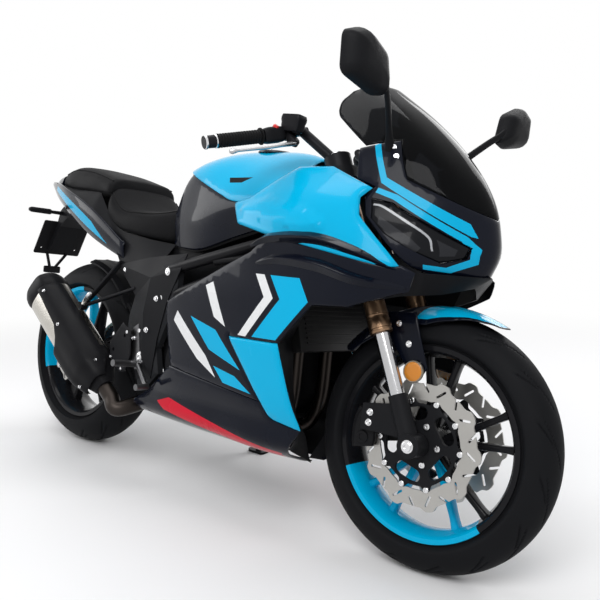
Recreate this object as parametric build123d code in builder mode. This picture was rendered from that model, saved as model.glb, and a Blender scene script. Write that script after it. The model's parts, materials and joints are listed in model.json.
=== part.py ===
from build123d import *
import os
from collections import namedtuple
from math import asin, cos, degrees, radians, sin, sqrt

# Sport motorcycle with a full fairing, parked on its side stand.
# The bike's own frame: x forward from the rear axle, y to the rider's left, z up from the road
# with the bike upright. Millimetres and degrees throughout.

# Driving dimensions
WHEELBASE = 1400
LEAN = 9.5  # to the left, on the side stand
STEER_REST = 5  # bars turned to the left, as parked
RAKE = 24.5
AXLE_OFFSET = 35  # steering axis to front axle
LEG_OFFSET = 30  # steering axis to the fork legs
LEG_HALF = 108  # middle of the bike to a fork leg
RIM_SEAT = 218  # radius of the tyre's seat on a 17 inch rim
SEAM = 0.6  # gap between neighbouring panels
SEAT_GAP = 0.2  # gap between pieces that sit in each other
RUN = 0.3  # running clearance of a shaft in its hole
PANEL = 4  # thickness of a moulded panel
PIVOT_X, PIVOT_Z = 500, 366  # swingarm pivot

# Wheels: axle x, tyre radius and half width, rim half width, hub half length, axle radius
Wheel = namedtuple("Wheel", "x tyre_radius tyre_half rim_half hub_half axle_radius")
FRONT = Wheel(WHEELBASE, 300, 60, 50, 64, 10)
REAR = Wheel(0, 312, 78, 64, 74, 12)
FLANGE = 6  # thickness of a rim flange
FLANGE_HEIGHT = 8  # above the tyre's seat
HUB_RADIUS = 40
SPOKE_PAIRS = 5
SPOKE_SPREAD = 12  # degrees from a pair's middle to one of its spokes at the rim

# Fork and steering, as distances up the steering axis from the front axle
LOWER_YOKE, UPPER_YOKE, YOKE_THICK = 430, 650, 30
CARRIER_TOP = 118  # axle carrier to chrome tube
SLIDER_TOP = 263  # chrome tube to outer tube
LEG_TOP = 716
CHROME_RADIUS, OUTER_RADIUS, CARRIER_RADIUS = 18.5, 25.5, 22
STEM_RADIUS, HEAD_RADIUS = 15, 30

# Brake discs: outer radius, inner radius, thickness, distance from the middle of the bike
Disc = namedtuple("Disc", "radius hole thick inner_face")
FRONT_DISC = Disc(150, 101, 5, 72)
REAR_DISC = Disc(110, 68, 5, 86)
DISC_LOBES = 10
PAD_GAP = 3  # disc to caliper

UP = Vector(-sin(radians(RAKE)), 0, cos(radians(RAKE)))  # along the steering axis
FRONT_AXLE = Vector(FRONT.x, 0, FRONT.tyre_radius)
REAR_AXLE = Vector(REAR.x, 0, REAR.tyre_radius)
STEER_POINT = FRONT_AXLE + Vector(-cos(radians(RAKE)), 0, -sin(radians(RAKE))) * AXLE_OFFSET
STEERING = Axis(STEER_POINT, UP)


def steer_plane(height):
    """Plane across the steering axis: x to the left, y to the rear."""
    return Plane(origin=STEER_POINT + UP * height, x_dir=(0, 1, 0), z_dir=UP)


def leg_point(height, side):
    """A point on a fork leg's middle line. Side is 1 for left and -1 for right."""
    ahead = Vector(cos(radians(RAKE)), 0, sin(radians(RAKE))) * LEG_OFFSET
    return STEER_POINT + UP * height + ahead + Vector(0, side * LEG_HALF, 0)


def side_plane(y):
    """Side view at a distance y to the left: x forward and y up, extruding to the right."""
    return Plane(origin=(0, y, 0), x_dir=(1, 0, 0), z_dir=(0, -1, 0))


def rod(start, end, radius):
    """A round bar between two points."""
    run = Vector(*end) - Vector(*start)
    with BuildPart() as bar:
        with BuildSketch(Plane(origin=start, z_dir=run)):
            Circle(radius)
        extrude(amount=run.length)
    return bar.part


def group(*pieces):
    """Several pieces as separate solids of one node."""
    return Compound([solid for piece in pieces for solid in piece.solids()])


def slab(outline, y_from, y_to):
    """A flat plate with a side view outline, between two distances from the middle."""
    with BuildPart() as plate:
        with BuildSketch(side_plane(max(y_from, y_to))):
            Polygon(*outline, align=None)
        extrude(amount=abs(y_to - y_from))
    return plate.part


def ring(axle, profile, arc=360, start=90):
    """A profile of (sideways, radius) points turned about an axle, from a start angle downwards."""
    turn = radians(start)
    with BuildPart() as turned:
        with BuildSketch(Plane(origin=axle, x_dir=(0, 1, 0), z_dir=(sin(turn), 0, -cos(turn)))):
            Polygon(*profile, align=None)
        revolve(axis=Axis(axle, (0, 1, 0)), revolution_arc=arc)
    return turned.part


def bent_rod(points, radius, side=1):
    """A bar along straight runs with a ball at each corner. Side -1 mirrors it to the right."""
    spots = [Vector(x, side * y, z) for x, y, z in points]
    with BuildPart() as bar:
        for first, last in zip(spots, spots[1:]):
            add(rod(first, last, radius))
        for corner in spots[1:-1]:
            with Locations(corner):
                Sphere(radius)
    return bar.part


def ruled(sections, plane_at):
    """A solid with flat-sided sections: a table of (place, outline points)."""
    with BuildPart() as body:
        for place, outline in sections:
            with BuildSketch(plane_at(place)):
                Polygon(*outline, align=None)
        loft(ruled=True)
    return body.part


def across(x):
    """Section plane across the bike at x: first coordinate to the left, second up."""
    return Plane.YZ.offset(x)


def level(z):
    """Section plane level with the road at z."""
    return Plane.XY.offset(z)


def mirrored(half):
    """A closed symmetric outline from the points of its left half, given from bottom to top."""
    return [*half, *[(-y, z) for y, z in reversed(half) if abs(y) > 0.01]]


# Wheels: cast rims with five pairs of spokes, tyres with a round crown
CROWN_ANGLES = [-90, -67.5, -45, -22.5, 0, 22.5, 45, 67.5, 90]


def tyre_profile(wheel):
    """Section of a tyre as (sideways, radius): beads on the rim, then the round crown."""
    centre = wheel.tyre_radius - wheel.tyre_half
    bead = wheel.rim_half - FLANGE - SEAT_GAP
    seat = RIM_SEAT + SEAT_GAP
    lip = RIM_SEAT + FLANGE_HEIGHT + 2
    crown = [
        (wheel.tyre_half * sin(radians(a)), centre + wheel.tyre_half * cos(radians(a)))
        for a in CROWN_ANGLES
    ]
    return [(-bead, seat), (-bead, lip), *crown, (bead, lip), (bead, seat)]


def make_rim(wheel):
    """A cast wheel: rim barrel, hub and pairs of spokes that spread towards the rim."""
    axle = Vector(wheel.x, 0, wheel.tyre_radius)
    top, edge = RIM_SEAT + FLANGE_HEIGHT, wheel.rim_half
    barrel_profile = [
        (-edge, top), (-edge + FLANGE, top), (-edge + FLANGE, RIM_SEAT), (edge - FLANGE, RIM_SEAT),
        (edge - FLANGE, top), (edge, top), (edge, RIM_SEAT - 6), (edge * 0.5, RIM_SEAT - 14),
        (-edge * 0.5, RIM_SEAT - 14), (-edge, RIM_SEAT - 6),
    ]
    root, tip = HUB_RADIUS - 8, RIM_SEAT - 10
    with BuildPart() as rim:
        with BuildSketch(Plane(origin=axle, x_dir=(1, 0, 0), z_dir=(0, -1, 0))):
            with PolarLocations(0, SPOKE_PAIRS, start_angle=90):
                for side in (-1, 1):
                    spread = radians(side * SPOKE_SPREAD)
                    middle = Vector(tip * cos(spread), tip * sin(spread))
                    Polygon(
                        (root, side * 4 - 11), (middle.X, middle.Y - 8),
                        (middle.X, middle.Y + 8), (root, side * 4 + 11), align=None,
                    )
        extrude(amount=wheel.hub_half, both=True)
        with BuildSketch(Plane(origin=axle, x_dir=(0, 1, 0), z_dir=(1, 0, 0))):
            Polygon((-34, 0), (34, 0), (34, root), (15, tip + 4), (-15, tip + 4), (-34, root), align=None)
        revolve(axis=Axis(axle, (0, 1, 0)), mode=Mode.INTERSECT)
        add(ring(axle, barrel_profile))
        add(ring(axle, [(-wheel.hub_half, 0), (wheel.hub_half, 0), (wheel.hub_half, HUB_RADIUS - 6),
                        (30, HUB_RADIUS), (-30, HUB_RADIUS), (-wheel.hub_half, HUB_RADIUS - 6)]))
        with Locations(Location(axle, (90, 0, 0))):
            Cylinder(wheel.axle_radius + RUN, 3 * wheel.hub_half, mode=Mode.SUBTRACT)
    return rim.part


front_rim = make_rim(FRONT)
rear_rim = make_rim(REAR)
front_tyre = ring(FRONT_AXLE, tyre_profile(FRONT))
rear_tyre = ring(REAR_AXLE, tyre_profile(REAR))


# Brake discs: petal outline, slots, and dark carriers that bolt to the hub
def make_disc(axle, disc, side, slots):
    """A thin steel ring with a hooked petal edge and slanted slots."""
    pitch = 360 / DISC_LOBES
    petals = [(0.0, 0.93), (0.28, 1.0), (0.62, 1.0), (0.80, 0.90)]  # share of a pitch, of the radius
    edge = [
        (disc.radius * share * cos(radians((k + turn) * pitch)),
         disc.radius * share * sin(radians((k + turn) * pitch)))
        for k in range(DISC_LOBES) for turn, share in petals
    ]
    face = disc.inner_face + (disc.thick if side > 0 else 0)
    with BuildPart() as plate:
        with BuildSketch(Plane(origin=axle + Vector(0, side * face, 0), x_dir=(1, 0, 0), z_dir=(0, -1, 0))):
            Polygon(*edge, align=None)
            RegularPolygon(disc.hole, 2 * DISC_LOBES, mode=Mode.SUBTRACT)
            with PolarLocations((disc.radius + disc.hole) / 2, slots):
                Rectangle(0.5 * (disc.radius - disc.hole), 6, rotation=38, mode=Mode.SUBTRACT)
        extrude(amount=disc.thick)
    return plate.part


def make_carrier(axle, disc, side, inner_face, windows):
    """The spider between a hub and its disc ring, with open windows."""
    reach = disc.hole * cos(radians(180 / (2 * DISC_LOBES))) - SEAT_GAP
    depth = disc.inner_face + disc.thick - inner_face
    face = inner_face + (depth if side > 0 else 0)
    with BuildPart() as spider:
        with BuildSketch(Plane(origin=axle + Vector(0, side * face, 0), x_dir=(1, 0, 0), z_dir=(0, -1, 0))):
            Circle(reach)
            Circle(HUB_RADIUS - 12, mode=Mode.SUBTRACT)
            with PolarLocations(0.70 * reach, windows):
                Rectangle(0.26 * reach, 0.42 * reach, mode=Mode.SUBTRACT)
        extrude(amount=depth)
    return spider.part


front_discs = group(*[make_disc(FRONT_AXLE, FRONT_DISC, s, 20) for s in (-1, 1)])
front_carriers = group(*[make_carrier(FRONT_AXLE, FRONT_DISC, s, FRONT.hub_half, 5) for s in (-1, 1)])
rear_disc = make_disc(REAR_AXLE, REAR_DISC, -1, 15)
rear_carrier = make_carrier(REAR_AXLE, REAR_DISC, -1, REAR.hub_half, 5)

# Final drive on the left: toothed sprocket on the rear wheel, chain loop round both sprockets
SPROCKET_FACE, SPROCKET_THICK = 90, 7
SPROCKET_TEETH, SPROCKET_RADIUS = 42, 94
DRIVE_X, DRIVE_RADIUS = 612, 36
CHAIN_GAP = 1.0  # tooth tips to the chain's inner line
CHAIN_HEIGHT, CHAIN_WIDTH, LINK_STEP = 9, 15, 3
LINKS = 52


def sprocket_outline():
    """Tooth tips and valleys round the rear sprocket."""
    step = 360 / SPROCKET_TEETH
    teeth = [(0, 0.94), (0.35, 1.0), (0.65, 1.0)]
    return [
        (SPROCKET_RADIUS * share * cos(radians((k + turn) * step)),
         SPROCKET_RADIUS * share * sin(radians((k + turn) * step)))
        for k in range(SPROCKET_TEETH) for turn, share in teeth
    ]


with BuildPart() as rear_sprocket:
    with BuildSketch(side_plane(SPROCKET_FACE + SPROCKET_THICK).shift_origin(
            REAR_AXLE + Vector(0, SPROCKET_FACE + SPROCKET_THICK, 0))):
        Polygon(*sprocket_outline(), align=None)
        Circle(REAR.axle_radius + 4, mode=Mode.SUBTRACT)
        with PolarLocations(62, 6):
            Circle(13, mode=Mode.SUBTRACT)
    extrude(amount=SPROCKET_THICK)
    add(ring(REAR_AXLE, [(REAR.hub_half, 20), (SPROCKET_FACE, 20), (SPROCKET_FACE, 44), (REAR.hub_half, 44)]))
rear_sprocket = rear_sprocket.part


def chain_line(grow):
    """Points round both sprockets, with the outside of every other link stepped out."""
    back, front = SPROCKET_RADIUS + CHAIN_GAP, DRIVE_RADIUS + CHAIN_GAP
    span = DRIVE_X - REAR.x
    drop = PIVOT_Z - REAR_AXLE.Z
    reach = sqrt(span**2 + drop**2)
    tilt = degrees(asin(drop / reach))
    wrap = degrees(asin((back - front) / reach))
    outline = []
    arcs = [(REAR.x, REAR_AXLE.Z, back, 90 - wrap, 270 + wrap, 20),
            (DRIVE_X, PIVOT_Z, front, 270 + wrap, 450 - wrap, 10)]
    for x, z, radius, first, last, steps in arcs:
        for k in range(steps + 1):
            turn = radians(tilt + first + (last - first) * k / steps)
            outline.append(Vector(x + (radius + grow) * cos(turn), z + (radius + grow) * sin(turn)))
    return outline


def chain_link(start, end, low, high):
    """Corners of a link plate that straddles a run of the chain between two points."""
    along = (end - start).normalized()
    out = Vector(along.Y, -along.X)
    return [start + out * low, end + out * low, end + out * high, start + out * high]


with BuildPart() as chain:
    with BuildSketch(side_plane(SPROCKET_FACE + SPROCKET_THICK / 2 + CHAIN_WIDTH / 2)):
        Polygon(*[(p.X, p.Y) for p in chain_line(CHAIN_HEIGHT)], align=None)
        Polygon(*[(p.X, p.Y) for p in chain_line(0)], align=None, mode=Mode.SUBTRACT)
    extrude(amount=CHAIN_WIDTH)
    with BuildSketch(side_plane(SPROCKET_FACE + SPROCKET_THICK / 2 + CHAIN_WIDTH / 2 - LINK_STEP)):
        with BuildLine():
            loop = Polyline(*[(p.X, p.Y) for p in chain_line(CHAIN_HEIGHT)], close=True)
        for k in range(LINKS):
            first, last = loop @ (k / LINKS), loop @ ((k + 0.62) / LINKS)
            Polygon(*[(p.X, p.Y) for p in chain_link(first, last, -1, LINK_STEP)], align=None)
    extrude(amount=CHAIN_WIDTH - 2 * LINK_STEP)
chain = chain.part

# Axles, clamped in the fork and in the swingarm
ARM_INNER, ARM_WIDE = 112, 28
front_reach, rear_reach = Vector(0, LEG_HALF + 26, 0), Vector(0, ARM_INNER + ARM_WIDE + 12, 0)
front_axle = rod(FRONT_AXLE - front_reach, FRONT_AXLE + front_reach, FRONT.axle_radius)
rear_axle = rod(REAR_AXLE - rear_reach, REAR_AXLE + rear_reach, REAR.axle_radius)


# Upside-down fork: two yokes on a stem, bronze outer tubes, chrome sliders, dark axle carriers
def make_yoke(height, stem_up):
    """A triple clamp: a plate round the stem and both legs."""
    with BuildPart() as yoke:
        with BuildSketch(steer_plane(height)):
            Circle(HEAD_RADIUS)
            with Locations((LEG_HALF, -LEG_OFFSET), (-LEG_HALF, -LEG_OFFSET)):
                Circle(OUTER_RADIUS + 10)
            make_hull()
            with Locations((LEG_HALF, -LEG_OFFSET), (-LEG_HALF, -LEG_OFFSET)):
                Circle(OUTER_RADIUS + SEAT_GAP, mode=Mode.SUBTRACT)
            if not stem_up:
                Circle(STEM_RADIUS + SEAT_GAP, mode=Mode.SUBTRACT)
        extrude(amount=YOKE_THICK)
        if stem_up:
            with BuildSketch(steer_plane(height + YOKE_THICK)):
                Circle(STEM_RADIUS)
            extrude(amount=stem_up)
    return yoke.part


lower_yoke = make_yoke(LOWER_YOKE, UPPER_YOKE - LOWER_YOKE + 10)
upper_yoke = make_yoke(UPPER_YOKE, 0)


def on_legs(low, high, radius):
    """A round length of both fork legs."""
    return group(*[rod(leg_point(low, s), leg_point(high, s), radius) for s in (-1, 1)])


fork_sliders = on_legs(CARRIER_TOP, SLIDER_TOP, CHROME_RADIUS)
fork_outers = on_legs(SLIDER_TOP, LEG_TOP, OUTER_RADIUS)

CALIPER_OUT = FRONT_DISC.inner_face + FRONT_DISC.thick + 23
CARRIER_EAR = [(1392, 311), (1372, 366), (1342, 384), (1262, 372), (1262, 312)]


def make_axle_carrier(side):
    """The foot of a fork leg: slider socket, axle clamp and the ear for the caliper."""
    inner, outer = LEG_HALF - CARRIER_RADIUS - 2, LEG_HALF + CARRIER_RADIUS + 2
    ear_in, ear_out = side * (CALIPER_OUT + RUN), side * (CALIPER_OUT + 12)
    with BuildPart() as foot:
        add(rod(leg_point(-4, side), leg_point(CARRIER_TOP, side), CARRIER_RADIUS))
        add(rod(FRONT_AXLE + Vector(0, side * inner, 0), FRONT_AXLE + Vector(0, side * outer, 0), 27))
        add(slab(CARRIER_EAR, ear_in, ear_out))
        with Locations(Location(FRONT_AXLE + Vector(0, side * LEG_HALF, 0), (90, 0, 0))):
            Cylinder(FRONT.axle_radius + SEAT_GAP, 4 * CARRIER_RADIUS, mode=Mode.SUBTRACT)
    return foot.part


axle_carriers = group(*[make_axle_carrier(s) for s in (-1, 1)])


def sector(axle, low, high, first, last):
    """Side view corners of a block that follows a wheel between two radii and two angles."""
    return [(axle.X + r * cos(radians(a)), axle.Z + r * sin(radians(a)))
            for r, a in ((low, first), (high, first), (high, (first + last) / 2), (high, last), (low, last))]


def make_caliper(axle, disc, side, angles, inner, outer):
    """A brake caliper that straddles the edge of its disc."""
    block = sector(axle, 0.72 * disc.radius, disc.radius + 22, *angles)
    near, far = side * (disc.inner_face - PAD_GAP), side * (disc.inner_face + disc.thick + PAD_GAP)
    rim = disc.radius + PAD_GAP
    with BuildPart() as caliper:
        add(slab(block, side * inner, side * outer))
        add(ring(axle, [(near, 20), (far, 20), (far, rim), (near, rim)]), mode=Mode.SUBTRACT)
    return caliper.part


front_calipers = group(*[
    make_caliper(FRONT_AXLE, FRONT_DISC, s, (158, 194), 52, CALIPER_OUT) for s in (-1, 1)
])
REAR_CALIPER_IN, REAR_CALIPER_OUT = 76, ARM_INNER - 8
CALIPER_BRACKET = [(8, 436), (74, 414), (66, 326), (18, 332)]
with BuildPart() as rear_caliper:
    add(make_caliper(REAR_AXLE, REAR_DISC, -1, (44, 92), REAR_CALIPER_IN, REAR_CALIPER_OUT))
    add(slab(CALIPER_BRACKET, -REAR_CALIPER_OUT, -ARM_INNER + RUN))
rear_caliper = rear_caliper.part

# Front mudguard on the fork: an arched shell with a guard plate beside each leg
GUARD_GAP, GUARD_HALF, GUARD_SKIRT = 15, 66, 26
GUARD_REAR, GUARD_ARC = 140, 76
GUARD_PLATE = [(1268, 578), (1345, 592), (1393, 470), (1386, 461), (1346, 466), (1300, 530)]
guard_inner = FRONT.tyre_radius + GUARD_GAP
guard_profile = [
    (-GUARD_HALF - PANEL, guard_inner - GUARD_SKIRT), (-GUARD_HALF, guard_inner - GUARD_SKIRT),
    (-GUARD_HALF, guard_inner - 8), (-GUARD_HALF + 14, guard_inner), (GUARD_HALF - 14, guard_inner),
    (GUARD_HALF, guard_inner - 8), (GUARD_HALF, guard_inner - GUARD_SKIRT),
    (GUARD_HALF + PANEL, guard_inner - GUARD_SKIRT), (GUARD_HALF + PANEL, guard_inner - 6),
    (GUARD_HALF - 12, guard_inner + PANEL), (-GUARD_HALF + 12, guard_inner + PANEL),
    (-GUARD_HALF - PANEL, guard_inner - 6),
]
with BuildPart() as front_mudguard:
    add(ring(FRONT_AXLE, guard_profile, GUARD_ARC, GUARD_REAR))
    for side in (-1, 1):
        add(slab(GUARD_PLATE, side * GUARD_HALF, side * (LEG_HALF - OUTER_RADIUS - SEAT_GAP)))
front_mudguard = front_mudguard.part

REFLECTOR_X, REFLECTOR_Z, REFLECTOR_RADIUS = 1368, 462, 22
guard_face = LEG_HALF - OUTER_RADIUS - SEAT_GAP
fork_reflectors = group(*[
    rod((REFLECTOR_X, s * (guard_face + RUN), REFLECTOR_Z), (REFLECTOR_X, s * (guard_face + 8), REFLECTOR_Z),
        REFLECTOR_RADIUS)
    for s in (-1, 1)
])

# Handlebars: clamps on the leg tops, raised arms, bars that sweep back and droop
BAR_ROOT, BAR_END = Vector(1000, 132, 1010), Vector(896, 349, 936)
BAR_RADIUS, GRIP_RADIUS = 11, 17
bar_run = BAR_END - BAR_ROOT
CLAMP_LOW = UPPER_YOKE + YOKE_THICK + 1


def bar_point(share, side):
    """A point along a bar, from its root to its end."""
    point = BAR_ROOT + bar_run * share
    return Vector(point.X, side * point.Y, point.Z)


def on_bars(first, last, radius):
    """A round length of both bars."""
    return group(*[rod(bar_point(first, s), bar_point(last, s), radius) for s in (-1, 1)])


def make_bar(side):
    """A clamp round the top of a fork leg, its raised arm and the bar."""
    with BuildPart() as bar:
        add(rod(leg_point(CLAMP_LOW, side), leg_point(LEG_TOP, side), OUTER_RADIUS + 8))
        add(rod(leg_point(CLAMP_LOW + 16, side), bar_point(0, side), 13))
        add(rod(bar_point(-0.05, side), bar_point(0.98, side), BAR_RADIUS))
        add(rod(leg_point(CLAMP_LOW - 1, side), leg_point(LEG_TOP + 1, side), OUTER_RADIUS + SEAT_GAP),
            mode=Mode.SUBTRACT)
    return bar.part


def sleeve(first, last, radius):
    """A tube over both bars, with the bar's clearance inside."""
    def one(side):
        with BuildPart() as tube:
            add(rod(bar_point(first, side), bar_point(last, side), radius))
            add(rod(bar_point(first - 0.01, side), bar_point(last + 0.01, side), BAR_RADIUS + SEAT_GAP),
                mode=Mode.SUBTRACT)
        return tube.part
    return group(*[one(s) for s in (-1, 1)])


handlebars = group(*[make_bar(s) for s in (-1, 1)])
grips = sleeve(0.46, 0.93, GRIP_RADIUS)
bar_ends = on_bars(0.981, 1.06, GRIP_RADIUS - 2)
switch_boxes = sleeve(0.22, 0.445, 21)
LEVER_PIVOT, LEVER_TIP = Vector(1010, 186, 968), Vector(943, 332, 916)


def make_lever(side):
    """A hand lever: a tapered blade with a ball end, on a perch that grips the bar."""
    pivot = Vector(LEVER_PIVOT.X, side * LEVER_PIVOT.Y, LEVER_PIVOT.Z)
    tip = Vector(LEVER_TIP.X, side * LEVER_TIP.Y, LEVER_TIP.Z)
    with BuildPart() as lever:
        add(rod(pivot, tip, 6))
        with Locations(tip):
            Sphere(8.5)
        with Locations(pivot):
            Box(26, 30, 20)
        add(rod(pivot, bar_point(0.15, side), 9))
        add(rod(bar_point(0.10, side), bar_point(0.21, side), 17))
        add(rod(bar_point(0.05, side), bar_point(0.26, side), BAR_RADIUS + SEAT_GAP), mode=Mode.SUBTRACT)
    return lever.part


levers = group(*[make_lever(s) for s in (-1, 1)])

# Frame: steering head, trellis of tubes on each side, cast plates round the swingarm pivot
TRELLIS_RADIUS = 16
PLATE_IN, PLATE_THICK = 150, 26
HEAD_LOW, HEAD_HIGH = LOWER_YOKE + YOKE_THICK + 2, UPPER_YOKE - 2
head_low, head_high = STEER_POINT + UP * HEAD_LOW, STEER_POINT + UP * HEAD_HIGH
with BuildPart() as steering_head:
    add(rod(head_low, head_high, HEAD_RADIUS))
    add(rod(head_low - UP * 5, head_high + UP * 5, STEM_RADIUS + RUN), mode=Mode.SUBTRACT)
steering_head = steering_head.part
head_middle = (head_low + head_high) * 0.5
UPPER_TUBE = [(1080, 30 + TRELLIS_RADIUS, 790), (960, 150, 738), (588, 162, 636)]
LOWER_TUBE = [(1090, 30 + TRELLIS_RADIUS, 736), (900, 146, 672), (574, 162, 552)]
STRUT = [(900, 147, 690), (760, 156, 670)]


def make_trellis(side):
    """One side of the frame: an upper and a lower tube with a strut between."""
    with BuildPart() as trellis:
        add(bent_rod(UPPER_TUBE, TRELLIS_RADIUS, side))
        add(bent_rod(LOWER_TUBE, TRELLIS_RADIUS, side))
        add(bent_rod(STRUT, 11, side))
    return trellis.part


trellis_left, trellis_right = make_trellis(1), make_trellis(-1)
PIVOT_BOLT = 14  # radius of the swingarm's pivot bolt
PIVOT_PLATE = [(628, 660), (556, 650), (548, 545), (470, 470), (462, 330), (494, 268), (520, 276), (574, 330),
               (556, 400), (588, 470), (622, 545)]


def make_pivot_plate(side):
    """A cast plate beside the engine that carries the swingarm pivot."""
    with BuildPart() as plate:
        add(slab(PIVOT_PLATE, side * PLATE_IN, side * (PLATE_IN + PLATE_THICK)))
        outer_face = plate.faces().sort_by(Axis.Y)[-1 if side > 0 else 0]
        chamfer(outer_face.edges(), 7)
        for tube in (trellis_left, trellis_right):
            add(tube, mode=Mode.SUBTRACT)
        with Locations(Location((PIVOT_X, side * PLATE_IN, PIVOT_Z), (90, 0, 0))):
            Cylinder(PIVOT_BOLT + SEAT_GAP, 4 * PLATE_THICK, mode=Mode.SUBTRACT)
    return plate.part


pivot_plates = group(*[make_pivot_plate(s) for s in (-1, 1)])
bolt_half = PLATE_IN + PLATE_THICK + 8
pivot_bolt = rod((PIVOT_X, -bolt_half, PIVOT_Z), (PIVOT_X, bolt_half, PIVOT_Z), PIVOT_BOLT)

# Swingarm: two box arms, a pivot tube and a bridge ahead of the tyre
PIVOT_TUBE = 36  # radius of the tube round the pivot
ARM_SECTIONS = [(-26, 46, 26), (40, 56, 28), (340, 78, 32), (PIVOT_X - 26, 66, 32)]  # x, height, width
BRIDGE = [(342, 318), (420, 326), (432, 386), (356, 396)]


def arm_middle(x):
    """Height of an arm's middle line: straight from the rear axle to the pivot."""
    return REAR_AXLE.Z + (PIVOT_Z - REAR_AXLE.Z) * x / PIVOT_X


def make_arm(side):
    """One arm of the swingarm, deepest ahead of the tyre."""
    sections = []
    for x, high, wide in ARM_SECTIONS:
        y, z = ARM_INNER, arm_middle(x)
        sections.append((x, [(side * y, z - high / 2), (side * (y + wide), z - high / 2),
                             (side * (y + wide), z + high / 2), (side * y, z + high / 2)]))
    return ruled(sections, across)


BOBBIN_X, BOBBIN_RADIUS, BOBBIN_DEPTH = 70, 4, ARM_WIDE + 6  # threaded right through arm and boss


def make_bored_arm(side):
    """An arm with its boss for a paddock stand and the holes for the axle and the pivot."""
    boss_end = ARM_INNER + ARM_WIDE + 6
    bob_z = arm_middle(BOBBIN_X)
    with BuildPart() as arm:
        add(make_arm(side))
        add(rod((BOBBIN_X, side * (ARM_INNER + 2), bob_z), (BOBBIN_X, side * boss_end, bob_z), 12))
        add(rod((BOBBIN_X, side * (ARM_INNER - 1), bob_z), (BOBBIN_X, side * (boss_end + 1), bob_z),
                BOBBIN_RADIUS), mode=Mode.SUBTRACT)
        add(rod((PIVOT_X, side * 90, PIVOT_Z), (PIVOT_X, side * PLATE_IN, PIVOT_Z), PIVOT_TUBE + SEAT_GAP),
            mode=Mode.SUBTRACT)
        add(rod(REAR_AXLE, REAR_AXLE + Vector(0, side * 200, 0), REAR.axle_radius + SEAT_GAP),
            mode=Mode.SUBTRACT)
    return arm.part


with BuildPart() as arm_bridge:
    add(slab(BRIDGE, -ARM_INNER + SEAT_GAP, ARM_INNER - SEAT_GAP))
    add(rod((PIVOT_X, -PLATE_IN + 1, PIVOT_Z), (PIVOT_X, PLATE_IN - 1, PIVOT_Z), PIVOT_TUBE))
    add(slab([(420, 330), (PIVOT_X, PIVOT_Z - 20), (PIVOT_X, PIVOT_Z + 20), (430, 384)], -90, 90))
    add(rod((PIVOT_X, -PLATE_IN, PIVOT_Z), (PIVOT_X, PLATE_IN, PIVOT_Z), PIVOT_BOLT + SEAT_GAP),
        mode=Mode.SUBTRACT)
swingarm = group(arm_bridge.part, *[make_bored_arm(s) for s in (-1, 1)])

# Rear suspension: damper body inside a coil, from the bridge to the frame
SHOCK_FOOT, SHOCK_HEAD = Vector(392, 0, 388), Vector(452, 0, 640)
shock_run = (SHOCK_HEAD - SHOCK_FOOT).normalized()
COILS, COIL_RADIUS, WIRE = 7, 27, 5.5
with BuildPart() as shock:
    add(rod(SHOCK_FOOT, SHOCK_FOOT + shock_run * 60, 16))
    add(rod(SHOCK_FOOT + shock_run * 30, SHOCK_HEAD, 12))
    for k in range(COILS):
        height = 52 + 22 * k
        add(rod(SHOCK_FOOT + shock_run * height, SHOCK_FOOT + shock_run * (height + 2 * WIRE), COIL_RADIUS))
    add(rod(SHOCK_HEAD - shock_run * 50, SHOCK_HEAD, 20))
    add(swingarm, mode=Mode.SUBTRACT)
shock = shock.part

# Rear hugger: short mudguard over the rear tyre, on the swingarm
HUGGER_GAP, HUGGER_HALF = 10, 74
hugger_in = REAR.tyre_radius + HUGGER_GAP
HUGGER_STAY = [(258, 62, 503), (374, 62, 392)]
with BuildPart() as hugger:
    add(ring(REAR_AXLE, [(-HUGGER_HALF, hugger_in - 10), (-HUGGER_HALF + 18, hugger_in),
                         (HUGGER_HALF - 18, hugger_in), (HUGGER_HALF, hugger_in - 10),
                         (HUGGER_HALF, hugger_in - 5), (HUGGER_HALF - 18, hugger_in + PANEL),
                         (-HUGGER_HALF + 18, hugger_in + PANEL), (-HUGGER_HALF, hugger_in - 5)], 50, 84))
    for side in (-1, 1):
        add(bent_rod(HUGGER_STAY, 8, side))
    add(swingarm, mode=Mode.SUBTRACT)
hugger = hugger.part

# Engine: one block of crankcase and forward-leaning cylinders, with round side covers
CASE = [(560, 262), (900, 262), (950, 330), (930, 450), (860, 500), (620, 500), (540, 440)]
CYLINDERS = [(720, 490), (900, 455), (985, 655), (800, 690)]
with BuildPart() as engine:
    add(slab(CASE, -132, 132))
    add(slab(CYLINDERS, -118, 118))
    for side, x, z, radius in ((-1, 680, 372, 92), (1, 800, 362, 80), (-1, 840, 360, 60)):
        add(rod((x, side * 120, z), (x, side * 158, z), radius))
    add(slab([(520, 296), (672, 296), (672, 440), (520, 440)], 80, 110), mode=Mode.SUBTRACT)
    add(rod((DRIVE_X, 78, PIVOT_Z), (DRIVE_X, 104, PIVOT_Z), DRIVE_RADIUS))
engine = engine.part

# Radiator: a finned core between two tanks, leaning back behind the front wheel
RADIATOR_HALF, FIN_STEP = 150, 12
RADIATOR = Plane(origin=(1064, 0, 572), x_dir=(0, 1, 0), z_dir=(0.96, 0, 0.28))
with BuildPart() as radiator:
    with BuildSketch(RADIATOR):
        Rectangle(2 * RADIATOR_HALF, 210)
    extrude(amount=-28)
    with BuildSketch(RADIATOR):
        with GridLocations(0, FIN_STEP, 1, 15):
            Rectangle(2 * RADIATOR_HALF - 50, 5)
    extrude(amount=4)
    for side in (-1, 1):
        add(rod((960, side * 104, 640), (1030, side * 104, 640), 8))
    add(engine, mode=Mode.SUBTRACT)
radiator = radiator.part

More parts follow.
